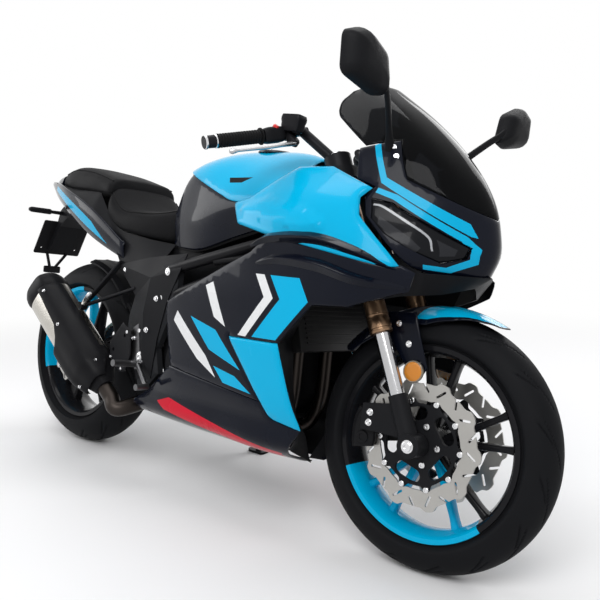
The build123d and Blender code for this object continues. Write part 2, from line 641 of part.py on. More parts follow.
# Exhaust: two header pipes down the front of the engine, a link pipe under it, and the silencer
HEADER_RADIUS, LINK_RADIUS = 19, 24
HEADER_PATH = [(962, 0, 599.9), (1000, 0, 583.7), (1000, 0, 330), (960, 0, 236), (800, 0, 230)]
headers = group(*[
    bent_rod([(x, y, z) for x, _, z in HEADER_PATH], HEADER_RADIUS) for y in (-60, 60)
])
CAN_FOOT, CAN_END = Vector(376, -206, 256), Vector(16, -230, 532)
CAN_SECTION = [(-46, -58), (46, -58), (58, -20), (52, 48), (20, 66), (-20, 66), (-52, 48), (-58, -20)]
can_run = CAN_END - CAN_FOOT
INLET = 40  # length of the silencer's inlet pipe
inlet = CAN_FOOT - can_run.normalized() * INLET
bend = CAN_FOOT - can_run.normalized() * (INLET + 40)
LINK_PATH = [(800, -36, 230), (540, -60, 228), (466, -106, 230), tuple(bend), tuple(inlet)]
link_pipe = bent_rod(LINK_PATH, LINK_RADIUS)
CAP_LENGTH, CONE_LENGTH = 52, 90


def can_plane(distance):
    """Plane across the silencer: x to the right of the bike, y up."""
    return Plane(origin=CAN_FOOT + can_run.normalized() * distance, x_dir=(0, -1, 0), z_dir=can_run)


def can_length(first, last, grow):
    """A length of the silencer's body, larger or smaller all round by a share."""
    with BuildPart() as body:
        with BuildSketch(can_plane(first)):
            Polygon(*[(x * grow, y * grow) for x, y in CAN_SECTION], align=None)
        extrude(amount=last - first)
    return body.part


with BuildPart() as silencer:
    for distance, share in ((0, 0.45), (CONE_LENGTH, 1)):
        with BuildSketch(can_plane(distance)):
            Polygon(*[(x * share, y * share) for x, y in CAN_SECTION], align=None)
    loft(ruled=True)
    add(can_length(CONE_LENGTH, can_run.length - CAP_LENGTH, 1))
    add(rod(inlet, CAN_FOOT, LINK_RADIUS))
silencer = silencer.part
with BuildPart() as silencer_cap:
    add(can_length(can_run.length - CAP_LENGTH, can_run.length, 1.04))
    with BuildSketch(can_plane(can_run.length)):
        Circle(24)
    extrude(amount=-30, mode=Mode.SUBTRACT)
silencer_cap = silencer_cap.part
SHIELD_SECTION = [(20, -66), (66, -62), (70, -20), (63, 54), (24, 74), (20.4, 66.6), (52.7, 48.6),
                  (58.7, -20), (46.5, -58.6), (20, -58.6)]
SHIELD_TO = can_run.length - CAP_LENGTH - 130
with BuildPart() as heat_shield:
    with BuildSketch(can_plane(CONE_LENGTH + 6)):
        Polygon(*SHIELD_SECTION, align=None)
    extrude(amount=SHIELD_TO - CONE_LENGTH)
heat_shield = heat_shield.part

# Fairing: one ruled skin over the whole side, cut along the panels' edges in side view.
# Skin table: x, then (z, half width) at keel, bilge, lower, mid, waist, chine, shoulder and crest.
SKIN = [
    (430, (190, 70), (206, 132), (285, 156), (395, 160), (515, 166), (590, 168), (670, 152), (730, 122)),
    (650, (182, 70), (204, 146), (295, 196), (410, 212), (520, 220), (640, 222), (720, 205), (800, 165)),
    (850, (180, 70), (202, 146), (300, 206), (420, 230), (540, 242), (690, 246), (780, 217), (880, 168)),
    (1050, (182, 70), (202, 142), (300, 206), (430, 236), (560, 252), (738, 254), (840, 224), (930, 164)),
    (1200, (195, 70), (218, 130), (310, 194), (440, 232), (580, 250), (728, 253), (845, 220), (915, 168)),
    (1300, (220, 70), (240, 125), (330, 185), (450, 215), (590, 238), (714, 244), (830, 206), (890, 172)),
    (1450, (260, 60), (280, 100), (360, 130), (470, 150), (600, 160), (700, 172), (750, 150), (790, 120)),
]


def inset(points, depth):
    """An open outline moved sideways by a depth, towards the middle of the bike."""
    moved = []
    for k, point in enumerate(points):
        before, after = points[max(k - 1, 0)], points[min(k + 1, len(points) - 1)]
        run = Vector(after[0] - before[0], after[1] - before[1]).normalized()
        moved.append((point[0] - run.Y * depth, point[1] + run.X * depth))
    return moved


def skin_section(row):
    """Section of the right-hand skin as a closed outline, outside and then inside."""
    outside = [(half, z) for z, half in row[1:]]
    closed = [*outside, *reversed(inset(outside, PANEL))]
    return row[0], [(-y, z) for y, z in closed]


right_skin = ruled([skin_section(row) for row in SKIN], across)


def cut_panel(skin, outline, side):
    """The part of a skin inside a side view outline, less half a seam all round."""
    with BuildPart() as panel:
        add(skin)
        with BuildSketch(side_plane(0)):
            Polygon(*outline, align=None)
            offset(amount=-SEAM / 2, kind=Kind.INTERSECTION, mode=Mode.REPLACE)
        extrude(amount=600, mode=Mode.INTERSECT)
    return mirror(panel.part, about=Plane.XZ) if side > 0 else panel.part


SIDE_PANEL = [(1285, 872), (1268, 848), (1282, 805), (1357, 735), (1392, 700), (1374, 694), (1035, 746),
              (905, 772), (850, 828), (915, 842), (1045, 925), (1150, 925)]
MID_PANEL = [(1420, 686), (1392, 700), (1374, 694), (1035, 746), (985, 702), (725, 585), (640, 545), (672, 372),
             (940, 347), (1038, 338), (925, 486), (1095, 490), (1195, 592), (1290, 598), (1410, 645)]
BLADE = [(925, 486), (1095, 490), (1150, 287), (1062, 300), (1038, 338)]
LOWER_PANEL = [(672, 372), (605, 322), (480, 240), (492, 170), (1060, 170), (1112, 232), (1150, 287),
               (1062, 300), (1038, 338), (940, 347)]
PANELS = {"side_panel": SIDE_PANEL, "mid_fairing": MID_PANEL, "front_blade": BLADE,
          "lower_fairing": LOWER_PANEL}
fairing = {
    f"{name}_{word}": cut_panel(right_skin, outline, side)
    for name, outline in PANELS.items() for word, side in (("left", 1), ("right", -1))
}

# Nose: level slices of a pointed shell, cut into upper cowl, two headlamps and the screen.
# Nose table: z, tip x, then (x, half width) at brow, cheek and rear edge.
NOSE = [
    (688, 1492, (1458, 66), (1372, 184), (1262, 222)),
    (740, 1511, (1492, 50), (1386, 180), (1258, 226)),
    (800, 1506, (1485, 50), (1372, 163), (1250, 213)),
    (860, 1486, (1464, 54), (1352, 150), (1240, 196)),
    (960, 1414, (1392, 64), (1308, 142), (1215, 176)),
    (1060, 1304, (1284, 64), (1212, 120), (1124, 138)),
    (1140, 1190, (1178, 44), (1150, 78), (1104, 94)),
]


def nose_section(row, shrink):
    """Level outline of the nose, moved in from the outside by a wall thickness."""
    z, tip, *points = row
    half = [(x - 1.3 * shrink, y - 0.8 * shrink) for x, y in points]
    left = [(tip - 1.6 * shrink, 0), *half]
    return z, [*left, *[(x, -y) for x, y in reversed(left[1:])]]


def nose_shell(wall):
    """The nose as a thin shell, open at the rear, top and bottom."""
    with BuildPart() as shell:
        add(ruled([nose_section(row, 0) for row in NOSE], level))
        hollow = [nose_section(row, wall) for row in NOSE]
        stretched = []
        for z, outline in hollow:
            rear = min(x for x, _ in outline)
            stretched.append((z, [(x - 40 if x == rear else x, y) for x, y in outline]))
        first, last = stretched[0], stretched[-1]
        stretched[0], stretched[-1] = (first[0] - 1, first[1]), (last[0] + 1, last[1])
        add(ruled(stretched, level), mode=Mode.SUBTRACT)
    return shell.part


nose = nose_shell(PANEL)
HEADLAMP = [(1284, 846), (1332, 838), (1484, 754), (1476, 728), (1440, 712), (1336, 766), (1296, 800)]
SCREEN = [(1540, 806), (1345, 894), (1308, 985), (1236, 1000), (1040, 1090), (1040, 1200), (1240, 1200),
          (1540, 920)]
COWL = [(1540, 806), (1345, 894), (1308, 985), (1226, 962), (1240, 889.67), (1285, 872), (1268, 848), (1282, 805),
        (1357, 735), (1392, 700), (1420, 686), (1540, 686)]


def cut_nose(outline, holes=()):
    """Both sides of the nose shell inside a side view outline, less any holes."""
    with BuildPart() as piece:
        add(nose)
        with BuildSketch(side_plane(400)):
            Polygon(*outline, align=None)
            offset(amount=-SEAM / 2, kind=Kind.INTERSECTION, mode=Mode.REPLACE)
            for hole in holes:
                Polygon(*hole, align=None, mode=Mode.SUBTRACT)
        extrude(amount=800, mode=Mode.INTERSECT)
    return piece.part


with BuildPart() as cowl_halves:
    add(cut_nose(COWL, [HEADLAMP]))
    with Locations((WHEELBASE, 0, 800)):
        Box(600, SEAM, 600, mode=Mode.SUBTRACT)
upper_cowl = group(cowl_halves.part)
screen = cut_nose(SCREEN)
headlamps = cut_nose(HEADLAMP)

# Stay that carries the nose, dash and mirrors on the steering head
DASH = [(1190, 975), (1212, 962), (1250, 1024), (1228, 1036)]
dash = slab(DASH, -66, 66)
with BuildPart() as fairing_stay:
    add(rod(head_middle + Vector(HEAD_RADIUS - 1, 0, 0), (1300, 0, 812), 14))
    add(rod((1300, -150, 812), (1300, 150, 812), 12))
    for side in (-1, 1):
        add(rod((1300, side * 150, 812), (1290, side * 121, 960), 9))
    add(rod((1300, 0, 812), (1226, 0, 996), 9))
    for side in (-1, 1):
        add(rod((1291, side * 118, 942), (1300, side * 170, 946), 8))
    for piece in (steering_head, dash, upper_cowl):
        add(piece, mode=Mode.SUBTRACT)
fairing_stay = fairing_stay.solids().sort_by(SortBy.VOLUME)[-1]

# Mirrors on stalks from the cowl
MIRROR_FOOT, MIRROR_NECK = Vector(1284, 132, 956), Vector(1356, 280, 1086)
MIRROR_HEAD = [(252, 1052), (298, 1042), (396, 1080), (404, 1146), (356, 1166), (274, 1128)]
MIRROR_MIDDLE = Vector(330, 1112)
MIRROR_X, MIRROR_DEEP = 1334, 40


def mirror_outline(side, share):
    """The mirror's outline from behind, shrunk to a share about its middle."""
    middle_y, middle_z = MIRROR_MIDDLE.X, MIRROR_MIDDLE.Y
    return [(side * (middle_y + (y - middle_y) * share), middle_z + (z - middle_z) * share) for y, z in MIRROR_HEAD]


def make_mirror(side):
    """A stalk and an angular housing that tapers towards its front."""
    foot = Vector(MIRROR_FOOT.X, side * MIRROR_FOOT.Y, MIRROR_FOOT.Z)
    neck = Vector(MIRROR_NECK.X, side * MIRROR_NECK.Y, MIRROR_NECK.Z)
    ends = [(MIRROR_X, mirror_outline(side, 1)), (MIRROR_X + MIRROR_DEEP, mirror_outline(side, 0.72))]
    with BuildPart() as mirror_part:
        add(ruled(ends, across))
        add(rod(foot, neck, 9))
        for piece in (upper_cowl, fairing_stay, screen):
            add(piece, mode=Mode.SUBTRACT)
    return mirror_part.solids().sort_by(SortBy.VOLUME)[-1]


def make_mirror_glass(side):
    """The glass in the back of a mirror housing."""
    outline = mirror_outline(side, 0.9)
    return ruled([(MIRROR_X - 3, outline), (MIRROR_X, outline)], across)


mirrors = group(*[make_mirror(s) for s in (-1, 1)])
mirror_glasses = group(*[make_mirror_glass(s) for s in (-1, 1)])

# Tank: one body cut along the edge between the painted cover and the dark knee cover.
# Tank table: x, then (half width, z) at foot, waist and shoulder, then the top's z.
TANK = [
    (508.3, (104, 704), (112, 800), (86, 902), 930),
    (560, (126, 698), (132, 806), (104, 925), 958),
    (650, (146, 694), (154, 815), (118, 940), 984),
    (820, (150, 738), (176, 832), (116, 940), 993),
    (960, (150, 776), (180, 846), (112, 928), 978),
    (1046, (140, 802), (170, 852), (104, 905), 944),
]
FORK_RECESS = [(1066, 790), (990, 968), (1100, 968), (1100, 790)]  # room for the fork at full lock
with BuildPart() as tank_body:
    add(ruled([(x, mirrored([*sides, (0, top)])) for x, *sides, top in TANK], across))
    add(slab(FORK_RECESS, -300, 300), mode=Mode.SUBTRACT)
tank_body = tank_body.part
TANK_EDGE = [(480, 948), (540, 930), (806, 836), (1080, 800)]


def cut_tank(outline):
    """The tank body inside a side view outline, less half a seam."""
    with BuildPart() as piece:
        add(tank_body)
        with BuildSketch(side_plane(300)):
            Polygon(*outline, align=None)
            offset(amount=-SEAM / 2, kind=Kind.INTERSECTION, mode=Mode.REPLACE)
        extrude(amount=600, mode=Mode.INTERSECT)
    return piece.part


tank = cut_tank([*TANK_EDGE, (1080, 1100), (400, 1100)])
knee_cover = cut_tank([*TANK_EDGE, (1080, 600), (400, 600)])

# Filler: a lid on a hinge, in a round pocket in the top of the tank
FILLER_X, FILLER_Z = 800, 976
POCKET_RADIUS, LID_RADIUS, LID_THICK = 52, 40, 11
HINGE_X, HINGE_Z, HINGE_RADIUS = FILLER_X - 45, FILLER_Z + 7, 3
with BuildPart() as tank_filled:
    add(tank)
    with BuildSketch(Plane.XY.offset(FILLER_Z)):
        with Locations((FILLER_X, 0)):
            Circle(POCKET_RADIUS)
    extrude(amount=60, mode=Mode.SUBTRACT)
    add(rod((HINGE_X, -14, HINGE_Z), (HINGE_X, 14, HINGE_Z), HINGE_RADIUS))
    for side in (-1, 1):
        add(slab([(HINGE_X - 4, FILLER_Z - 2), (HINGE_X + 4, FILLER_Z - 2), (HINGE_X + 4, HINGE_Z + 4),
                  (HINGE_X - 4, HINGE_Z + 4)], side * 9, side * 14))
tank = tank_filled.part
with BuildPart() as filler_lid:
    add(rod((FILLER_X, 0, FILLER_Z + RUN), (FILLER_X, 0, FILLER_Z + LID_THICK), LID_RADIUS))
    add(slab([(HINGE_X, FILLER_Z + 1), (FILLER_X, FILLER_Z + 1), (FILLER_X, HINGE_Z + 4),
              (HINGE_X, HINGE_Z + 4)], -7, 7))
    add(rod((HINGE_X, -7, HINGE_Z), (HINGE_X, 7, HINGE_Z), 5))
    add(rod((HINGE_X, -9, HINGE_Z), (HINGE_X, 9, HINGE_Z), HINGE_RADIUS + RUN), mode=Mode.SUBTRACT)
filler_lid = filler_lid.part

# Seats: rider's saddle and the raised pillion pad. Table: x, then (half width, z) at foot, side and top.
SADDLE = [
    (202, (146, 778), (144, 848), (112, 884)),
    (260, (146, 738), (145, 800), (116, 826)),
    (360, (140, 718), (138, 786), (102, 806)),
    (450, (122, 708), (118, 790), (80, 812)),
    (508, (104, 704), (98, 796), (60, 832)),
]
PILLION = [
    (-196, (66, 884), (64, 918), (44, 938)),
    (-90, (100, 862), (96, 926), (70, 953)),
    (70, (124, 852), (120, 914), (92, 938)),
    (201.7, (140, 846), (134, 884), (106, 906)),
]


def padded(table):
    """A seat body from its table of sections."""
    return ruled([(x, mirrored([*points, (0, points[-1][1] + 4)])) for x, *points in table], across)


saddle, pillion = padded(SADDLE), padded(PILLION)

# Tail: subframe tubes, undertray, side cowls, cap, lamp, and the plate hanger with its signals
SUBFRAME = [(566, PLATE_IN - 11.3, 638), (330, 120, 688), (-150, 66, 812)]
SUBFRAME_RADIUS = 11
cross_half = SUBFRAME[1][1] - SUBFRAME_RADIUS - SEAT_GAP
cross_x, cross_z = SUBFRAME[1][0], SUBFRAME[1][2]
cross_bar = rod((cross_x, -cross_half, cross_z), (cross_x, cross_half, cross_z), SUBFRAME_RADIUS)
subframe = group(cross_bar, *[bent_rod(SUBFRAME, SUBFRAME_RADIUS, s) for s in (-1, 1)])
TRAY = [(480, 704.9), (480, 674), (300, 704.2), (-140, 818), (-195.7, 836), (-195.7, 883.6), (-90, 861.7),
        (70, 851.7), (201.4, 845.7), (201.7, 777.9), (260, 737.7), (360, 717.7), (450, 707.7)]
undertray = slab(TRAY, -52, 52)
# Tail cowl table: x, low z and half width, high z and half width
TAIL = [
    (330, (646, 150), (700, 156)),
    (150, (704, 148), (800, 164)),
    (-50, (786, 124), (866, 140)),
    (-200, (848, 84), (898, 88)),
    (-284, (884, 50), (906, 52)),
]
TAIL_WALL = 10


def make_tail_cowl(side):
    """A side cowl of the tail, slanting up to the lamp."""
    sections = [(x, [(side * y1, z1), (side * y2, z2),
                     (side * (y2 - TAIL_WALL), z2), (side * (y1 - TAIL_WALL), z1)])
                for x, (z1, y1), (z2, y2) in TAIL]
    return ruled(sections, across)


tail_cowl_left, tail_cowl_right = make_tail_cowl(1), make_tail_cowl(-1)
tail_cap = ruled([
    (-196.3, [(-76.4, 884), (76.4, 884), (60, 930), (-60, 930)]),
    (-286, [(-39.7, 888), (39.7, 888), (34, 908), (-34, 908)]),
], across)
tail_lamp = ruled([
    (-286.3, [(-36, 889), (36, 889), (32, 907), (-32, 907)]),
    (-298, [(-28, 891), (28, 891), (26, 903), (-26, 903)]),
], across)
HANGER = [(-120, 812), (-196, 832), (-236, 800), (-252, 752), (-306, 650), (-296, 646), (-232, 742),
          (-196, 770)]
hanger = slab(HANGER, -44, 44)
PLATE_PLANE = Plane(origin=(-282.8, 0, 697.4), x_dir=(0, 1, 0), z_dir=(-0.881, 0, 0.472))
PLATE_HOLES, PLATE_HOLE_RADIUS, PLATE_THICKNESS = 140, 3.2, 4
with BuildPart() as plate_holder:
    with BuildSketch(PLATE_PLANE):
        RectangleRounded(188, 138, 6)
        with GridLocations(PLATE_HOLES, 0, 2, 1):
            with Locations((0, 45)):
                Circle(PLATE_HOLE_RADIUS, mode=Mode.SUBTRACT)
    extrude(amount=PLATE_THICKNESS)
    add(hanger, mode=Mode.SUBTRACT)
plate_holder = plate_holder.part
SIGNAL = (-222, 790)
rear_signals = group(*[
    rod((SIGNAL[0], s * (44 + RUN), SIGNAL[1]), (SIGNAL[0], s * 172, SIGNAL[1]), 9) for s in (-1, 1)
])

# Rider's footrests, pedals and the side stand
FOOT_PLATE = [(462, 452), (492, 470), (512, 334), (484, 330), (436, 400)]
PEG_X, PEG_Z, PEG_LENGTH = 495, 347, 96
PEDAL_X, BRAKE_Z, GEAR_Z = 584, 296, 366
plate_face = PLATE_IN + PLATE_THICK


def make_footrest(side):
    """A hanger plate with the peg, and the pedal or gear lever ahead of it."""
    pedal_z = GEAR_Z if side > 0 else BRAKE_Z
    near, toe = side * (plate_face + 2), side * (plate_face + 40)
    with BuildPart() as rest:
        add(slab(FOOT_PLATE, side * (plate_face + RUN), side * (plate_face + 10)))
        add(rod((PEG_X, near, PEG_Z), (PEG_X, side * (plate_face + PEG_LENGTH), PEG_Z + 5), 10))
        add(rod((PEG_X, side * (plate_face + 12), PEG_Z + 3), (PEDAL_X, toe, pedal_z), 7))
        add(rod((PEDAL_X, toe - side * 6, pedal_z), (PEDAL_X, toe + side * 36, pedal_z), 9))
        add(rod((PIVOT_X, side * plate_face, PIVOT_Z), (PIVOT_X, side * (plate_face + 30), PIVOT_Z),
                PIVOT_BOLT + RUN),
            mode=Mode.SUBTRACT)
        with BuildSketch(side_plane(side * plate_face)):
            Rectangle(2000, 2000)
        extrude(amount=side * 20, mode=Mode.SUBTRACT)
    return rest.part


footrests = group(*[make_footrest(s) for s in (-1, 1)])


# Placing: the bars turn, the bike leans to its left, and both tyres come down to the road
def lowest(wheel, centre, axle_direction):
    """Height of a tyre's lowest point, from the corners of its section."""
    slope = axle_direction.Z
    return min(centre.Z + s * slope - r * sqrt(1 - slope**2) for s, r in tyre_profile(wheel))


def turn_point(point, axis, angle):
    """A point after a turn about an axis."""
    return (Vector(*point) - axis.position).rotate(axis, angle) + axis.position


def turned(point, steered):
    """A point after the bars have turned and the bike has leaned."""
    spot = turn_point(point, STEERING, STEER_REST) if steered else point
    return turn_point(spot, Axis.X, -LEAN)


front_centre, front_left = turned(FRONT_AXLE, True), turned(FRONT_AXLE + Vector(0, 1, 0), True)
rear_centre, rear_left = turned(REAR_AXLE, False), turned(REAR_AXLE + Vector(0, 1, 0), False)
front_low = lowest(FRONT, front_centre, front_left - front_centre)
rear_low = lowest(REAR, rear_centre, rear_left - rear_centre)
PITCH = degrees(asin((front_low - rear_low) / WHEELBASE))


def stand_up(part, steered=False):
    """Moves a piece from the upright bike to where it stands on the road."""
    if steered:
        part = part.rotate(STEERING, STEER_REST)
    part = part.rotate(Axis.X, -LEAN).rotate(Axis.Y, PITCH)
    return part.translate((0, 0, -rear_low))


def road_point(x, y, height=0):
    """A point over the road under the leaning bike, in the bike's own upright frame."""
    return turn_point(turn_point((x, y, rear_low + height), Axis.Y, -PITCH), Axis.X, LEAN)


# Side stand on the left pivot plate: a pin, an eye, a leg and a foot that is flat on the road
STAND_FOLDED = Vector(-0.985, 0.06, 0.16).normalized()  # where the leg points when it is up
STAND_PIN = Vector(519, PLATE_IN + PLATE_THICK - 8, 302)
STAND_EYE, PIN_RADIUS, EYE_RADIUS, LEG_RADIUS = 33, 8, 16, 10
STAND_X, STAND_Y, PAD_THICK = 566, 300, 8
foot_spot = road_point(STAND_X, STAND_Y)
stand_axis = (foot_spot - STAND_PIN).normalized().cross(STAND_FOLDED).normalized()
eye_spot = STAND_PIN + stand_axis * STAND_EYE
PAD_PLANE = Plane(origin=foot_spot, x_dir=road_point(STAND_X + 1, STAND_Y) - foot_spot,
                  z_dir=road_point(STAND_X, STAND_Y, 1) - foot_spot)
with BuildPart() as stand_pin:
    add(rod(STAND_PIN, eye_spot + stand_axis * 12, PIN_RADIUS))
    add(rod(STAND_PIN, STAND_PIN + stand_axis * (STAND_EYE - 13), EYE_RADIUS))
    add(pivot_plates, mode=Mode.SUBTRACT)
stand_pin = stand_pin.part
with BuildPart() as side_stand:
    add(rod(eye_spot - stand_axis * 12, eye_spot + stand_axis * 12, EYE_RADIUS))
    add(rod(eye_spot, foot_spot + PAD_PLANE.z_dir * PAD_THICK, LEG_RADIUS))
    with BuildSketch(PAD_PLANE):
        RectangleRounded(70, 44, 12)
    extrude(amount=PAD_THICK)
    with BuildSketch(PAD_PLANE):
        Rectangle(300, 300)
    extrude(amount=-60, mode=Mode.SUBTRACT)
    add(rod(eye_spot - stand_axis * 20, eye_spot + stand_axis * 20, PIN_RADIUS + RUN), mode=Mode.SUBTRACT)
side_stand = side_stand.part

# Every node, on the steered and on the fixed side of the steering axis
STEERED = {
    "yokes": group(lower_yoke, upper_yoke), "fork_outers": fork_outers, "fork_sliders": fork_sliders,
    "axle_carriers": group(axle_carriers, front_axle), "front_calipers": front_calipers,
    "front_mudguard": front_mudguard, "fork_reflectors": fork_reflectors,
    "handlebars": group(handlebars, bar_ends), "grips": grips, "bar_controls": group(switch_boxes, levers),
    "front_tyre": front_tyre, "front_rim": front_rim, "front_discs": group(front_discs, front_carriers),
}
FIXED = {
    "steering_head": steering_head, "trellis_left": trellis_left, "trellis_right": trellis_right,
    "pivot_plates": group(pivot_plates, stand_pin), "swingarm_bolts": group(pivot_bolt, rear_axle),
    "swingarm": swingarm, "shock": shock, "hugger": hugger, "rear_caliper": rear_caliper, "engine": engine,
    "radiator": radiator, "exhaust_pipes": group(headers, link_pipe),
    "silencer": group(silencer, silencer_cap),
    "heat_shield": heat_shield, "chain": chain,
    "side_panel_left": fairing["side_panel_left"], "side_panel_right": fairing["side_panel_right"],
    "mid_fairing_left": fairing["mid_fairing_left"], "mid_fairing_right": fairing["mid_fairing_right"],
    "lower_fairing_left": fairing["lower_fairing_left"],
    "lower_fairing_right": fairing["lower_fairing_right"],
    "front_blades": group(fairing["front_blade_left"], fairing["front_blade_right"]),
    "upper_cowl": upper_cowl, "screen": screen, "headlamps": headlamps, "fairing_stay": fairing_stay,
    "dash": dash,
    "mirrors": mirrors, "mirror_glasses": mirror_glasses, "tank": tank, "filler_lid": filler_lid,
    "knee_cover": knee_cover, "saddle": saddle, "pillion": pillion, "subframe": subframe,
    "undertray": undertray, "hanger": hanger, "tail_cowls": group(tail_cowl_left, tail_cowl_right, tail_cap),
    "rear_lamps": group(tail_lamp, rear_signals), "plate_holder": plate_holder,
    "footrests": footrests, "side_stand": side_stand, "rear_tyre": rear_tyre, "rear_rim": rear_rim,
    "rear_disc": group(rear_disc, rear_carrier), "rear_sprocket": rear_sprocket,
}

os.makedirs("parts", exist_ok=True)
for old in os.listdir("parts"):
    os.remove(os.path.join("parts", old))
placed = {name: stand_up(part, True) for name, part in STEERED.items()}
placed.update({name: stand_up(part) for name, part in FIXED.items()})
boxes = [part.bounding_box() for part in placed.values()]
CENTRE_X = (min(box.min.X for box in boxes) + max(box.max.X for box in boxes)) / 2
CENTRE_Y = (min(box.min.Y for box in boxes) + max(box.max.Y for box in boxes)) / 2
for name, part in placed.items():
    part = part.translate((-CENTRE_X, -CENTRE_Y, 0))
    part.label = name
    export_step(part, f"parts/{name}.step")
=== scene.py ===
import json
from math import cos, pi, radians, sin

import bmesh
import bpy
import numpy as np
from mathutils import Matrix, Vector
from mathutils.geometry import delaunay_2d_cdt


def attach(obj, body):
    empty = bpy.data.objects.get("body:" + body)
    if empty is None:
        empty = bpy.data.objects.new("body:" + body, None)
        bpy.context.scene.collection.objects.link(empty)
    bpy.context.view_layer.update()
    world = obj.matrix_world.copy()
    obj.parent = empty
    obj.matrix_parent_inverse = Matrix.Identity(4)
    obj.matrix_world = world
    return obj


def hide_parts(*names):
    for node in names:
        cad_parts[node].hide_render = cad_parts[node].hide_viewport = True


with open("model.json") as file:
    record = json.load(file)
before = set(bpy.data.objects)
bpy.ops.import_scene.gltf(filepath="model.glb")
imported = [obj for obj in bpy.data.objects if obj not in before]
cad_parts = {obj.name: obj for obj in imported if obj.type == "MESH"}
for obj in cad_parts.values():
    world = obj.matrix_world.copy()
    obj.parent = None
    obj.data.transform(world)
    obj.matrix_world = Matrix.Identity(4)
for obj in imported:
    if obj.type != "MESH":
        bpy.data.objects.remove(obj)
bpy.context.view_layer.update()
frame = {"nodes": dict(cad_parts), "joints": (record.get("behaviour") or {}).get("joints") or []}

# Stance: the bike stands on its side stand, leaning to its left with the bars turned a little.
# Shapes are worked out on the upright bike in millimetres, x forward from the rear axle, y left, z up.
LEAN, PITCH, STEER_REST, RAKE = radians(9.5), radians(0.0521), radians(5), radians(24.5)
REAR_RADIUS, FRONT_RADIUS, WHEELBASE = 312, 300, 1400
FORK_OFFSET = 35
STEER_POINT = np.array([WHEELBASE - FORK_OFFSET * cos(RAKE), 0, FRONT_RADIUS - FORK_OFFSET * sin(RAKE)])
UP = np.array([-sin(RAKE), 0, cos(RAKE)])


def turn(axis, angle):
    """Turn about an axis: identity + sine times the cross matrix + (1 - cosine) times its square."""
    x, y, z = np.asarray(axis, float) / np.linalg.norm(axis)
    cross = np.array([[0, -z, y], [z, 0, -x], [-y, x, 0]])
    return np.eye(3) + sin(angle) * cross + (1 - cos(angle)) * cross @ cross


LEANED = turn((0, 1, 0), PITCH) @ turn((1, 0, 0), -LEAN)
rear_spin = next(j for j in frame["joints"] if j["name"] == "rear_wheel_spin")
SHIFT = np.array(rear_spin["pos_m"]) - LEANED @ (0, 0, REAR_RADIUS / 1000)


def stood(points, steered=False):
    """Bike frame in mm to the stage in metres: turned with the bars if steered, then leaned and shifted."""
    spots = np.asarray(points, float)
    if steered:
        spots = (spots - STEER_POINT) @ turn(UP, STEER_REST).T + STEER_POINT
    return spots / 1000 @ LEANED.T + SHIFT


# Camera: at the photograph's place, front right of the bike and at about the height of the seat.
# Its axes come from yaw, dip and roll in radians, and its lens from a focus in pixels.
camera_spot = np.array([2.30897, -1.42479, 0.90994]) + SHIFT * (1, 1, 0)
YAW, DIP, ROLL, FOCUS = 2.302986, 0.160157, -0.009862, 760.09
SENSOR, PIXELS = 36, 600
ahead = np.array([cos(DIP) * cos(YAW), cos(DIP) * sin(YAW), -sin(DIP)])
flat_right = np.array([sin(YAW), -cos(YAW), 0])
flat_up = np.cross(flat_right, ahead)
cam_right = cos(ROLL) * flat_right + sin(ROLL) * flat_up
cam_up = cos(ROLL) * flat_up - sin(ROLL) * flat_right
camera = bpy.data.objects.new("camera", bpy.data.cameras.new("camera"))
camera.data.sensor_width, camera.data.lens = SENSOR, FOCUS / PIXELS * SENSOR
cam_axes = np.stack([cam_right, cam_up, -ahead], 1)
camera.matrix_world = Matrix.Translation(camera_spot) @ Matrix(cam_axes).to_4x4()
bpy.context.scene.collection.objects.link(camera)
bpy.context.scene.camera = camera
bpy.context.scene.view_settings.view_transform = "Standard"

# Studio: a pale floor that fades into a white surround, under soft boxes.
# Fade and white are for rays that are looked along; to all others the surround is a plain dimmer light.
FLOOR_HALF = 9.0
floor_mesh = bpy.data.meshes.new("studio_floor")
floor_mesh.from_pydata([(-FLOOR_HALF, -FLOOR_HALF, 0), (FLOOR_HALF, -FLOOR_HALF, 0),
                        (FLOOR_HALF, FLOOR_HALF, 0), (-FLOOR_HALF, FLOOR_HALF, 0)], [], [(0, 1, 2, 3)])
floor = bpy.data.objects.new("studio_floor", floor_mesh)
bpy.context.scene.collection.objects.link(floor)


def wired(material):
    """A material's node tree, emptied, with its output node."""
    material.use_nodes = True
    tree = material.node_tree
    tree.nodes.clear()
    return tree, tree.nodes.new("ShaderNodeOutputMaterial")


def joined(tree, *links):
    """Links pairs of sockets in a node tree."""
    for source, target in links:
        tree.links.new(source, target)


def added(tree, *kinds):
    """New shader nodes of the kinds named, in that order."""
    return [tree.nodes.new("ShaderNode" + kind) for kind in kinds]


def preset(node, values):
    """Sets input sockets of a node by name."""
    for socket, value in values.items():
        node.inputs[socket].default_value = value


def seen_rays(tree):
    """One for camera, glossy and transmission rays, zero for the others."""
    path, seen, either = added(tree, "LightPath", "Math", "Math")
    seen.operation = either.operation = "MAXIMUM"
    joined(tree, (path.outputs["Is Camera Ray"], seen.inputs[0]),
           (path.outputs["Is Glossy Ray"], seen.inputs[1]), (seen.outputs[0], either.inputs[0]),
           (path.outputs["Is Transmission Ray"], either.inputs[1]))
    return either.outputs[0]


